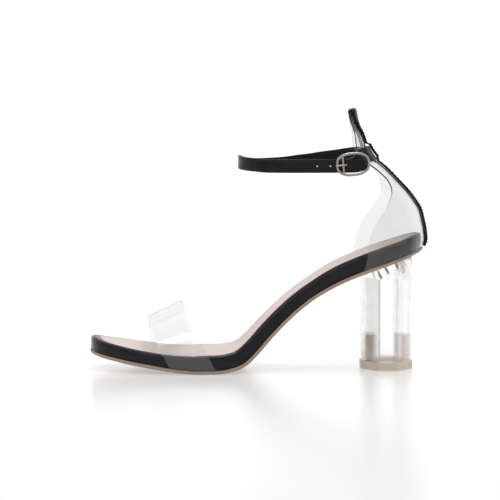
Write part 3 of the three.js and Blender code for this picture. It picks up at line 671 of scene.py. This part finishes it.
def makeLift():
    plate = [(heelMiddle + x, y) for x, y in eightSided(heel["liftOverhang"])]
    points, faces = prism(plate, lambda x: 0, lambda x: heel["liftThickness"])
    # the pegs stand against the hollow's end walls and follow its slanted corners
    inside = eightSided(-heel["wall"] - gap)
    (reach, nearAcross), (nearAlong, across) = inside[1], inside[2]
    half = heel["pegBreadth"] / 2
    bend = reach - (half - nearAcross) * (reach - nearAlong) / (across - nearAcross)
    near = reach - heel["pegLength"]
    outline = [(reach, -nearAcross), (reach, nearAcross), (bend, half), (near, half), (near, -half), (bend, -half)]
    for end in (-1, 1):
        corners = [(heelMiddle + end * x, y) for x, y in outline]
        pegPoints, pegFaces = prism(corners, lambda x: heel["liftThickness"] - 0.2,
                                    lambda x: heel["liftThickness"] + heel["pegHeight"])
        base = len(points)
        points += pegPoints
        faces += [tuple(base + k for k in face) for face in pegFaces]
    piece = meshPiece("topLiftRubber", points, faces, liftTan, "lift_rubber", "top_lift", shade=False)
    addBevel(piece, 0.4, 3)
    return piece


def nailPath(nail, steps):
    along, across = nail
    x = heel["front"] + heel["length"] * along
    middle = onSole(x, heel["breadth"] * across, -gap - heel["nailLength"] / 2)
    lean = soleLean(x) + math.radians(heel["nailTilt"])
    down = Vector((math.sin(lean), 0, -math.cos(lean)))
    return [middle + down * heel["nailLength"] * (i / steps - 0.5) for i in range(steps + 1)], down


def makeNails():
    # ring-shank nails: a plain neck, fine rings and a point
    def radiusAt(t):
        if t < 0.1:
            return heel["nailRadius"]
        if t > 0.85:
            return heel["nailRadius"] * mix(0.8, 0.15, (t - 0.85) / 0.15)
        return heel["nailRadius"] * (0.84 + 0.08 * math.sin(t * 75))

    for number, nail in enumerate(heel["nails"], 1):
        path, down = nailPath(nail, 48)
        points, faces = sweptTube(path, radiusAt, 20)
        meshPiece(f"heelNail{number}", points, faces, buckleMetal, "buckle_metal", f"heel_nail_{number}")


makeHeelBlock()
makeLift()
makeNails()
print("heel made")


# Clear band over the toes

band = {
    "crownFront": 37.5, "crownRear": 59.9, "crownFrontHeight": 34.3, "crownRearHeight": 44.8,
    "lateralFootFront": 51.8, "lateralFootRear": 82, "medialFootFront": 40, "medialFootRear": 69,
    "roundness": 2.15, "flare": 1.1, "wallShare": 0.2, "edgeRadius": 0.12,
}


def bandPoint(across, along):
    # across 0 at the lateral foot and 1 at the medial foot, along 0 at the front edge
    lateral = across < 0.5
    climb = 1 - abs(2 * across - 1)
    wall = band["wallShare"]
    crownX = mix(band["crownFront"], band["crownRear"], along)
    crownZ = mix(band["crownFrontHeight"], band["crownRearHeight"], along)
    foot = "lateralFoot" if lateral else "medialFoot"
    footX = mix(band[foot + "Front"], band[foot + "Rear"], along)
    footZ = onSole(footX, 0, platformFoot).z
    lipZ = onSole(footX, 0, platformTop(footX)).z
    turn = math.pi / 2 * min(max((climb - wall) / (1 - wall), 0), 1)
    out = max(math.cos(turn), 0) ** (2 / band["roundness"])
    up = math.sin(turn) ** (2 / band["roundness"])
    z = mix(footZ, lipZ, climb / wall) if climb < wall else mix(lipZ, crownZ, up)
    x = mix(crownX, footX, max((crownZ - z) / (crownZ - footZ), 0) ** band["flare"])
    y = halfWidth("lateral" if lateral else "medial", x) * out * (-1 if lateral else 1)
    return Vector((x, y, z))


def makeBand():
    def pointAt(across, along, face):
        point = bandPoint(across, along)
        near = min(max(across, 0.004), 0.996)
        normal = surfaceNormal(bandPoint, near, along, Vector((0, point.y, point.z)))
        return point - normal * clearThickness * face

    points, faces = closedSheet(110, 14, pointAt)
    piece = meshPiece("toeBandSheet", points, faces, clearBand, "clear_sheet", "toe_band")
    addBevel(piece, band["edgeRadius"], 2, 55)
    return piece


makeBand()
print("toe band made")


# Clear quarter round the heel

quarter = {
    "height": 88.2, "reach": 40.2, "edgeRadius": 0.12,
    # share of the height from its foot, share of the height backwards
    "seamLine": [(0, 0.005), (0.054, 0.018), (0.13, 0.01), (0.2, -0.005), (0.272, -0.025), (0.329, -0.06),
                 (0.398, -0.111), (0.467, -0.176), (0.528, -0.234), (0.579, -0.286), (0.627, -0.345),
                 (0.683, -0.393), (0.739, -0.424), (0.784, -0.44), (0.838, -0.458), (0.883, -0.481),
                 (0.936, -0.498), (1, -0.511)],
    # share of the height, lateral and medial reach in front of the seam as shares of the reach
    "edges": [(0, 1.009, 1.129), (0.07, 0.975, 1.117), (0.14, 0.92, 1.045), (0.2, 0.809, 0.937),
              (0.25, 0.674, 0.798), (0.33, 0.463, 0.562), (0.37, 0.361, 0.453), (0.42, 0.25, 0.345),
              (0.46, 0.184, 0.274), (0.51, 0.15, 0.201), (0.555, 0.155, 0.165), (0.6, 0.168, 0.168),
              (0.68, 0.187, 0.187), (0.74, 0.169, 0.169), (0.78, 0.152, 0.152), (0.83, 0.125, 0.125),
              (0.875, 0.098, 0.098), (1, 0.072, 0.072)],
    # share of the height, along the seat, like the ankle, narrowing, tilt
    "form": [(0, 1, 0, 1, 0), (0.07, 0.78, 0, 1, 0), (0.14, 0.5, 0, 1, 0), (0.25, 0.1, 0.25, 1, 0),
             (0.33, 0, 0.55, 1, 0), (0.55, 0, 1, 1, 0), (0.77, 0, 1, 1, 0), (0.87, 0, 1, 0.74, 0.15),
             (1, 0, 1, 0.66, 0.5)],
}
strap = {
    "width": 8.6, "thickness": 1.8, "loopLength": 83.8, "loopWidth": 52, "roundness": 2.5,
    "low": 133.5, "backRise": 7.8, "edgeRadius": 0.35,
    # turn round the loop from the seam over the lateral side, share of backRise
    "rise": [(0, 1), (0.03, 0.985), (0.06, 0.94), (0.09, 0.86), (0.108, 0.79), (0.13, 0.45), (0.15, 0.14),
             (0.17, 0), (0.2, 0), (0.332, 0), (0.382, 0.075), (0.442, 0.167), (0.5, 0.24),
             (0.586, -0.03), (0.64, -0.12), (0.69, -0.09), (0.723, 0.013), (0.75, 0.19), (0.78, 0.4),
             (0.823, 0.59), (0.878, 0.8), (0.93, 0.93), (1, 1)],
}

quarterFoot = onSole(sole["length"], 0, platformFoot).z


def seamX(level):
    return sole["length"] + quarter["height"] * readTable(quarter["seamLine"], level)


def seatTop(x):
    return soleLine(x) + platformFoot / math.cos(soleLean(x))


def loopHalfWidth(depth):
    along = abs(1 - depth / (strap["loopLength"] / 2))
    return strap["loopWidth"] / 2 * max(1 - along ** strap["roundness"], 0) ** (1 / strap["roundness"])


def quarterHalfWidth(side, depth, level):
    x = sole["length"] - depth
    platformShift = math.sin(soleLean(x)) * quarter["height"] * min(level, 0.2)
    seat = max(halfWidth(side, x), halfWidth(side, x + platformShift))
    ankle = readTable(quarter["form"], level, 2)
    return readTable(quarter["form"], level, 3) * mix(seat, loopHalfWidth(depth), ankle)


def quarterPlace(side, depth, level):
    x = seamX(level) - depth
    drop = seatTop(sole["length"]) - seatTop(min(max(sole["length"] - depth, 0), sole["length"]))
    fall = readTable(quarter["form"], level, 1) * drop + readTable(quarter["form"], level, 4) * depth
    y = quarterHalfWidth(side, depth, level) * (-1 if side == "lateral" else 1)
    return Vector((x, y, quarterFoot + quarter["height"] * level - fall))


def quarterPoint(around, level):
    # around 0 at the lateral front edge, a half at the seam, 1 at the medial front edge
    side = "lateral" if around < 0.5 else "medial"
    reach = quarter["reach"] * readTable(quarter["edges"], level, 1 if side == "lateral" else 2)
    depth = reach * (1 - math.cos(math.pi * abs(around - 0.5)))
    return quarterPlace(side, depth, level)


def makeQuarter():
    def pointAt(around, level, face):
        point = quarterPoint(around, level)
        outward = Vector((point.x - seamX(level) + quarter["reach"], point.y, 0))
        normal = surfaceNormal(quarterPoint, min(max(around, 0.004), 0.996),
                               min(max(level, 0.004), 0.996), outward)
        return point - normal * clearThickness * face

    points, faces = closedSheet(90, 80, pointAt)
    piece = meshPiece("heelQuarterSheet", points, faces, clearQuarter, "clear_sheet", "heel_quarter")
    addBevel(piece, quarter["edgeRadius"], 2, 55)
    return piece


makeQuarter()
print("heel quarter made")


# Black strip over the back seam

strip = {
    "thickness": 1.3, "width": 9, "tabWidth": 14, "ramp": 0.4, "returnLength": 23, "edgeRadius": 0.25,
    "outsideSteps": 90, "foldSteps": 14, "insideSteps": 26,
    "stitchInset": 0.9, "stitchPitch": 2.4, "threadRadius": 0.16,
}


def levelOf(z):
    return (z - quarterFoot) / quarter["height"]


strapBackHeight = strap["low"] + strap["backRise"]


def depthFor(y, level):
    low, high = 0, quarter["reach"]
    for _ in range(34):
        middle = (low + high) / 2
        if quarterHalfWidth("lateral", middle, level) < abs(y):
            low = middle
        else:
            high = middle
    return (low + high) / 2


seamRows, seamColumns, seamReach = 150, 16, 8
seamDepths = [[depthFor(seamReach * k / seamColumns, i / seamRows) for k in range(seamColumns + 1)]
              for i in range(seamRows + 1)]


def seamPoint(y, level):
    # the quarter's surface near the seam, by width, read from a grid of depths
    row = min(max(level * seamRows, 0), seamRows - 0.001)
    column = min(abs(y) / seamReach * seamColumns, seamColumns - 0.001)
    i, k = int(row), int(column)
    low = mix(seamDepths[i][k], seamDepths[i][k + 1], column - k)
    high = mix(seamDepths[i + 1][k], seamDepths[i + 1][k + 1], column - k)
    point = quarterPlace("medial", mix(low, high, row - i), level)
    return Vector((point.x, y, point.z))


def stripStations():
    stations = []
    strapLevel = levelOf(strapBackHeight)
    halfStrap = levelOf(strap["width"] / 2 + quarterFoot)
    for i in range(strip["outsideSteps"] + 1):
        level = i / strip["outsideSteps"]
        over = 1 - smooth(abs(level - strapLevel) - halfStrap, 0, halfStrap * strip["ramp"])
        half = mix(strip["width"], strip["tabWidth"], smooth(level, strapLevel + halfStrap, 1)) / 2
        stations.append((level, 0, gap + (strap["thickness"] + gap) * over, half))
    for i in range(1, strip["foldSteps"]):
        stations.append((1, math.pi * i / strip["foldSteps"], gap, strip["tabWidth"] / 2))
    for i in range(strip["insideSteps"] + 1):
        share = i / strip["insideSteps"]
        level = 1 - share * strip["returnLength"] / quarter["height"]
        stations.append((level, math.pi, gap, strip["tabWidth"] / 2 * math.sqrt(1 - 0.8 * share ** 3)))
    return stations


stations = stripStations()


def stripPoint(place, across, out):
    # place runs along the stations, across from -1 to 1, out from the strip's inner face
    i = min(max(int(place), 0), len(stations) - 2)
    level, turn, lift, half = (mix(a, b, place - i) for a, b in zip(stations[i], stations[i + 1]))
    y = half * across
    near = min(max(level, 0.004), 0.996)
    step = 0.002
    alongUp = seamPoint(y, near + step) - seamPoint(y, near - step)
    alongY = seamPoint(y + 0.05, near) - seamPoint(y - 0.05, near)
    normal = alongUp.cross(alongY).normalized()
    if normal.x < 0:
        normal = -normal
    away = normal * math.cos(turn) + alongUp.normalized() * math.sin(turn)
    return seamPoint(y, level) - normal * clearThickness / 2 + away * (clearThickness / 2 + lift + out)


def makeStrip():
    count = len(stations) - 1

    def pointAt(along, across, face):
        return stripPoint(along * count, 2 * across - 1, strip["thickness"] * (1 - face))

    points, faces = closedSheet(count, 14, pointAt)
    piece = meshPiece("seamStripWrap", points, faces, strapBlack, "patent_black", "seam_strip")
    addBevel(piece, strip["edgeRadius"], 3, 55)
    # the face against the sheet is painted grey: a painted sheen that stands in for the grazing reflection seen
    # through the clear sheet
    piece.data.materials.append(stripPaintedSheen)
    work = bmesh.new()
    work.from_mesh(piece.data)
    # points of the face against the sheet, which gets the painted sheen
    paintedSheenFace = {tuple(round(c, 7) for c in onFrame(p)) for p in points[(count + 1) * 15:]}
    for face in work.faces:
        if all(tuple(round(c, 7) for c in v.co) in paintedSheenFace for v in face.verts):
            face.material_index = 1
    work.to_mesh(piece.data)
    work.free()
    return piece


def makeStitches(name, pointAt, normalAt, starts, length, radius):
    # short threads that dip into the leather at both ends
    points, faces = [], []
    for start in starts:
        path = []
        for i in range(7):
            share = i / 6
            lift = radius * (1.5 * math.sin(math.pi * share) - 0.6)
            place = start + length * share
            path.append(pointAt(place) + normalAt(place) * lift)
        tubePoints, tubeFaces = sweptTube(path, lambda t: radius, 6)
        base = len(points)
        points += tubePoints
        faces += [tuple(base + k for k in face) for face in tubeFaces]
    return meshPiece(name, points, faces, blackThread, "patent_black")


def stripStitches():
    count = strip["outsideSteps"]
    stepsPerMm = count / 105
    for name, side in (("stripStitchesLateral", -1), ("stripStitchesMedial", 1)):
        def pointAt(place, side=side):
            half = stations[min(int(place), count)][3]
            return stripPoint(place, side * (1 - strip["stitchInset"] / half), strip["thickness"])

        def normalAt(place, side=side):
            half = stations[min(int(place), count)][3]
            across = side * (1 - strip["stitchInset"] / half)
            return (stripPoint(place, across, strip["thickness"])
                    - stripPoint(place, across, 0)).normalized()

        pitch = strip["stitchPitch"] * stepsPerMm
        starts = [2 + pitch * i for i in range(int((count - 6) / pitch))]
        makeStitches(name, pointAt, normalAt, starts, pitch * 0.72, strip["threadRadius"])


makeStrip()
stripStitches()
print("seam strip made")


# Ankle strap

strapParts = {
    "buckleFromSeam": 35.5, "tailBeyond": 15, "rearThickness": 0.85, "tailRound": 4.2,
    "stitchInset": 1.1, "stitchPitch": 2.3, "threadRadius": 0.14,
    "holeRadius": 0.6, "firstHole": 12.4, "holePitch": 8.5, "holes": 2,
}
outerFace = gap + strap["thickness"]


def loopPlace(turn, z):
    angle = 2 * math.pi * turn
    power = 2 / strap["roundness"]
    along = signedPower(math.cos(angle), power)
    across = signedPower(math.sin(angle), power)
    depth = strap["loopLength"] / 2 * (1 - along)
    follow = 1 - smooth(depth, strap["loopLength"] / 9, strap["loopLength"] / 3)
    leanZ = mix(strapBackHeight, z, follow)
    return Vector((seamX(levelOf(leanZ)) - depth, -strap["loopWidth"] / 2 * across, z))


def offLoop(turn, z, out):
    before, after = loopPlace(turn - 0.004, z), loopPlace(turn + 0.004, z)
    outward = Vector((before.y - after.y, after.x - before.x, 0)).normalized()
    return loopPlace(turn, z) + outward * out


def strapPoint(turn, up, out):
    # up is a share of the width from its middle, out is how far outside the loop
    turn = turn % 1
    middle = strap["low"] + strap["backRise"] * readTable(strap["rise"], turn)
    return offLoop(turn, middle + strap["width"] * up, out)


def makeRuler(pointAt):
    # distance round the loop's outer face from the seam, with the turn there
    rows = [(0, 0)]
    last = pointAt(0)
    for i in range(1, 481):
        here = pointAt(i / 480)
        rows.append((rows[-1][0] + (here - last).length, i / 480))
        last = here
    return rows


strapRuler = makeRuler(lambda turn: strapPoint(turn, 0, outerFace))
strapAround = strapRuler[-1][0]


def turnAt(distance, ruler=strapRuler):
    low, high = 0, len(ruler) - 1
    while high - low > 1:
        middle = (low + high) // 2
        if ruler[middle][0] <= distance:
            low = middle
        else:
            high = middle
    a, b = ruler[low], ruler[high]
    return mix(a[1], b[1], (distance - a[0]) / (b[0] - a[0]))


def strapBand(start, end, steps, thicknessAt, innerAt, halfAt):
    # flat band along the ruler from start to end, with its own faces and width
    def pointAt(along, across, face):
        place = mix(start, end, along)
        turn = turnAt(place)
        inner = innerAt(place)
        out = inner if face else inner + thicknessAt(place)
        return strapPoint(turn, (across - 0.5) * halfAt(place), out)

    return closedSheet(steps, 6, pointAt)


def makeStrap():
    middle = strapParts["buckleFromSeam"]
    tailEnd = middle - strapParts["tailBeyond"]
    rear = strapParts["rearThickness"]
    overlapEnd = middle + 9
    round_ = strapParts["tailRound"]

    # rear part: from the seam to the buckle, under the tail
    rearPart = strapBand(0.02, overlapEnd, 90, lambda p: mix(strap["thickness"], rear, smooth(p, tailEnd - 6, tailEnd - 2)),
                         lambda p: gap, lambda p: 1)
    piece = meshPiece("strapRearPart", *rearPart, strapBlack, "patent_black", "ankle_strap")
    addBevel(piece, 0.3, 3, 55)

    # long part: tail, buckle holes, round the front and back to the seam
    def inner(p):
        return gap + (rear + 0.03) * (1 - smooth(p, overlapEnd + 0.5, overlapEnd + 6))

    def thickness(p):
        return strap["thickness"] - (inner(p) - gap)

    def half(p):
        share = min((p - tailEnd) / round_, 1)
        return max(1 - (1 - share) ** 2, 0.0) ** 0.5 if share < 1 else 1

    longPart = strapBand(tailEnd + 0.05, strapAround - 0.02, 300, thickness, inner, half)
    piece = meshPiece("strapLongPart", *longPart, strapBlack, "patent_black", "ankle_strap")
    addBevel(piece, strap["edgeRadius"], 3, 55)
    return piece


def strapStitches():
    start = strapParts["buckleFromSeam"] + 15
    end = strapAround - 8
    pitch = strapParts["stitchPitch"]
    share = 0.5 - strapParts["stitchInset"] / strap["width"]
    starts = [start + pitch * i for i in range(int((end - start) / pitch))]
    for name, up in (("strapStitchesUpper", share), ("strapStitchesLower", -share)):
        makeStitches(name, lambda place, up=up: strapPoint(turnAt(place), up, outerFace),
                     lambda place, up=up: (strapPoint(turnAt(place), up, outerFace + 1)
                                           - strapPoint(turnAt(place), up, outerFace)).normalized(),
                     starts, pitch * 0.7, strapParts["threadRadius"])


def strapHoles():
    # punched holes in front of the buckle; their pale edges catch the light
    corners = 20
    for number in range(strapParts["holes"]):
        place = strapParts["buckleFromSeam"] + strapParts["firstHole"] + strapParts["holePitch"] * number
        turn = turnAt(place)
        middle = strapPoint(turn, 0, outerFace)
        outward = (strapPoint(turn, 0, outerFace + 1) - middle).normalized()
        side = outward.cross(Vector((0, 0, 1))).normalized() * strapParts["holeRadius"]
        rise = Vector((0, 0, strapParts["holeRadius"]))
        points = []
        for out in (-0.3, 0.03):
            for k in range(corners):
                angle = 2 * math.pi * k / corners
                points.append(middle + outward * out + side * math.cos(angle) + rise * math.sin(angle))
        faces = [(k, (k + 1) % corners, corners + (k + 1) % corners, corners + k) for k in range(corners)]
        faces += [tuple(range(corners - 1, -1, -1)), tuple(range(corners, 2 * corners))]
        meshPiece(f"strapHole{number + 1}", points, faces, holePale, "patent_black", "ankle_strap")


makeStrap()
strapStitches()
strapHoles()
print("ankle strap made")


# Buckle

buckle = {
    "length": 22.5, "height": 15.5, "wire": 0.85, "roundness": 2.5, "innerBow": 8.2,
    "fromSeam": 35.5, "lift": 1.2, "tilt": 5, "standOff": 0.9, "prongLength": 7.8, "prongRadius": 0.55,
}
buckleLevel = strap["low"] + buckle["lift"]
buckleRuler = makeRuler(lambda turn: offLoop(turn, buckleLevel, outerFace))


def onStrap(along, up, out):
    # from the buckle's middle: along towards the seam, up across the ring, out from the strap's
    # face; the ring bends round the ankle and keeps its own level and tilt
    tilt = math.radians(buckle["tilt"])
    level = along * math.cos(tilt) - up * math.sin(tilt)
    height = up * math.cos(tilt) + along * math.sin(tilt)
    away = buckle["standOff"] * smooth(level, 0, buckle["length"] / 2)
    point = offLoop(turnAt(buckle["fromSeam"] - level, buckleRuler), buckleLevel, outerFace + out + away)
    return Vector((point.x, point.y, buckleLevel + height))


def bucklePlace(turn):
    angle = 2 * math.pi * turn
    power = 2 / buckle["roundness"]
    along = signedPower(math.cos(angle), power) * (buckle["length"] / 2 - buckle["wire"])
    up = signedPower(math.sin(angle), power) * (buckle["height"] / 2 - buckle["wire"])
    return onStrap(along, up, gap + buckle["wire"])


def makeBuckle():
    corners = 14

    def pointAt(turn, k):
        centre = bucklePlace(turn)
        along = (bucklePlace(turn + 0.004) - bucklePlace(turn - 0.004)).normalized()
        across = bucklePlace(turn + 0.5) - centre
        inward = (across - along * across.dot(along)).normalized()
        outward = along.cross(inward)
        angle = 2 * math.pi * k / corners
        return centre + inward * buckle["wire"] * math.cos(angle) + outward * buckle["wire"] * math.sin(angle)

    points, faces = closedRing(120, corners, pointAt)
    meshPiece("buckleRing", points, faces, buckleMetal, "buckle_metal", "buckle_frame")

    end = -(buckle["length"] / 2 - buckle["wire"])
    tall = buckle["height"] / 2 - buckle["wire"]
    path = []
    for i in range(31):
        t = i / 30
        along = (1 - t) ** 2 * end / 1.6 + 2 * t * (1 - t) * (end + buckle["innerBow"] / 2) + t * t * end / 1.6
        up = mix(-tall * 0.95, tall * 0.95, t)
        path.append(onStrap(along, up, gap + buckle["wire"]))
    points, faces = sweptTube(path, lambda t: buckle["wire"] * 0.9, 14)
    meshPiece("buckleBow", points, faces, buckleMetal, "buckle_metal", "buckle_frame")


def makeProng():
    tip = -buckle["length"] / 2
    over = 2 * buckle["wire"] + 2 * gap + buckle["prongRadius"]
    shape = [(tip + buckle["prongLength"], buckle["prongRadius"] + gap - 0.2),
             (tip + buckle["prongLength"] * 0.85, over * 0.75),
             (tip + buckle["prongLength"] * 0.62, over), (tip + buckle["prongLength"] * 0.3, over),
             (tip + 0.1, over), (tip - 0.5, over - 0.35)]
    path = []
    for i in range(41):
        t = i / 40 * (len(shape) - 1)
        k = min(int(t), len(shape) - 2)
        path.append(onStrap(mix(shape[k][0], shape[k + 1][0], t - k), 0, mix(shape[k][1], shape[k + 1][1], t - k)))
    points, faces = sweptTube(path, lambda t: buckle["prongRadius"] * (1 if t < 0.8 else mix(1, 0.6, (t - 0.8) / 0.2)), 14)
    meshPiece("bucklePin", points, faces, buckleMetal, "buckle_metal", "buckle_prong")


makeBuckle()
makeProng()
print("buckle made")


# Set, light and camera

setting = {
    "floorColour": (0.4, 0.4, 0.4), "floorRoughness": 0.22, "floorGlow": 0.35,
    # brightness of the surroundings: behind the shoe, in front of it, and overhead
    "behind": 1.05, "inFront": 0.6, "overhead": 0.0,
    "cameraAzimuth": -1.5, "cameraElevation": 4.2, "cameraDistance": 1800,
    "cameraTarget": (-5.87, 0, 77.54), "framedWidth": 327.55,
}


def makeFloor():
    mesh = bpy.data.meshes.new("floorSheet")
    mesh.from_pydata([(-6, -6, 0), (6, -6, 0), (6, 6, 0), (-6, 6, 0)], [], [(0, 1, 2, 3)])
    floor = bpy.data.objects.new("floorSheet", mesh)
    bpy.context.scene.collection.objects.link(floor)
    material = bpy.data.materials.new("floorWhite")
    material.use_nodes = True
    shader = material.node_tree.nodes["Principled BSDF"]
    shader.inputs["Base Color"].default_value = (*setting["floorColour"], 1)
    shader.inputs["Roughness"].default_value = setting["floorRoughness"]
    shader.inputs["Emission Color"].default_value = (1, 1, 1, 1)
    shader.inputs["Emission Strength"].default_value = setting["floorGlow"]
    shader.inputs["Specular IOR Level"].default_value = 0.4
    mesh.materials.append(material)


def addAreaLight(name, place, aim, size, power):
    light = bpy.data.lights.new(name, "AREA")
    light.shape = "RECTANGLE"
    light.size, light.size_y = size
    light.energy = power
    lamp = bpy.data.objects.new(name, light)
    lamp.location = place
    lamp.rotation_euler = (Vector(aim) - Vector(place)).to_track_quat("-Z", "Y").to_euler()
    bpy.context.scene.collection.objects.link(lamp)


def makeWorld():
    # a bright backdrop behind and overhead, a dimmer room in front; the camera itself sees white
    world = bpy.data.worlds.new("studio")
    bpy.context.scene.world = world
    world.use_nodes = True
    nodes, links = world.node_tree.nodes, world.node_tree.links
    background = nodes["Background"]
    direction = nodes.new("ShaderNodeTexCoord")
    split = nodes.new("ShaderNodeSeparateXYZ")
    depth = nodes.new("ShaderNodeMapRange")
    depth.interpolation_type = "SMOOTHSTEP"
    depth.inputs["From Min"].default_value = -0.35
    depth.inputs["From Max"].default_value = 0.35
    depth.inputs["To Min"].default_value = setting["inFront"]
    depth.inputs["To Max"].default_value = setting["behind"]
    height = nodes.new("ShaderNodeMapRange")
    height.interpolation_type = "SMOOTHSTEP"
    height.inputs["From Min"].default_value = 0.45
    height.inputs["From Max"].default_value = 0.95
    height.inputs["To Max"].default_value = setting["overhead"]
    total = nodes.new("ShaderNodeMath")
    seen = nodes.new("ShaderNodeLightPath")
    choice = nodes.new("ShaderNodeMix")
    links.new(direction.outputs["Generated"], split.inputs["Vector"])
    links.new(split.outputs["Y"], depth.inputs["Value"])
    links.new(split.outputs["Z"], height.inputs["Value"])
    links.new(depth.outputs["Result"], total.inputs[0])
    links.new(height.outputs["Result"], total.inputs[1])
    links.new(seen.outputs["Is Camera Ray"], choice.inputs["Factor"])
    links.new(total.outputs["Value"], choice.inputs["A"])
    choice.inputs["B"].default_value = 1.05
    background.inputs["Color"].default_value = (1, 1, 1, 1)
    links.new(choice.outputs["Result"], background.inputs["Strength"])


def makeLights():
    addAreaLight("topSoftbox", (0.15, 0.1, 1.1), (0, 0, 0.05), (0.9, 0.5), 5)
    addAreaLight("frontSoftbox", (-0.5, -0.9, 0.9), (0, 0, 0.06), (0.5, 0.4), 1.2)


def makeCamera():
    azimuth, elevation = math.radians(setting["cameraAzimuth"]), math.radians(setting["cameraElevation"])
    back = Vector((math.sin(azimuth) * math.cos(elevation),
                   -math.cos(azimuth) * math.cos(elevation), math.sin(elevation)))
    target = Vector(setting["cameraTarget"]) / 1000
    distance = setting["cameraDistance"] / 1000
    data = bpy.data.cameras.new("productCamera")
    data.sensor_width = 36
    data.lens = 36 * setting["cameraDistance"] / setting["framedWidth"]
    data.clip_start, data.clip_end = 0.05, 50
    camera = bpy.data.objects.new("productCamera", data)
    camera.location = target + back * distance
    camera.rotation_mode = "QUATERNION"
    camera.rotation_quaternion = (-back).to_track_quat("-Z", "Y")
    bpy.context.scene.collection.objects.link(camera)
    bpy.context.scene.camera = camera


makeFloor()
makeWorld()
makeLights()
makeCamera()
bpy.context.scene.view_settings.view_transform = "Standard"
print("set, light and camera made")
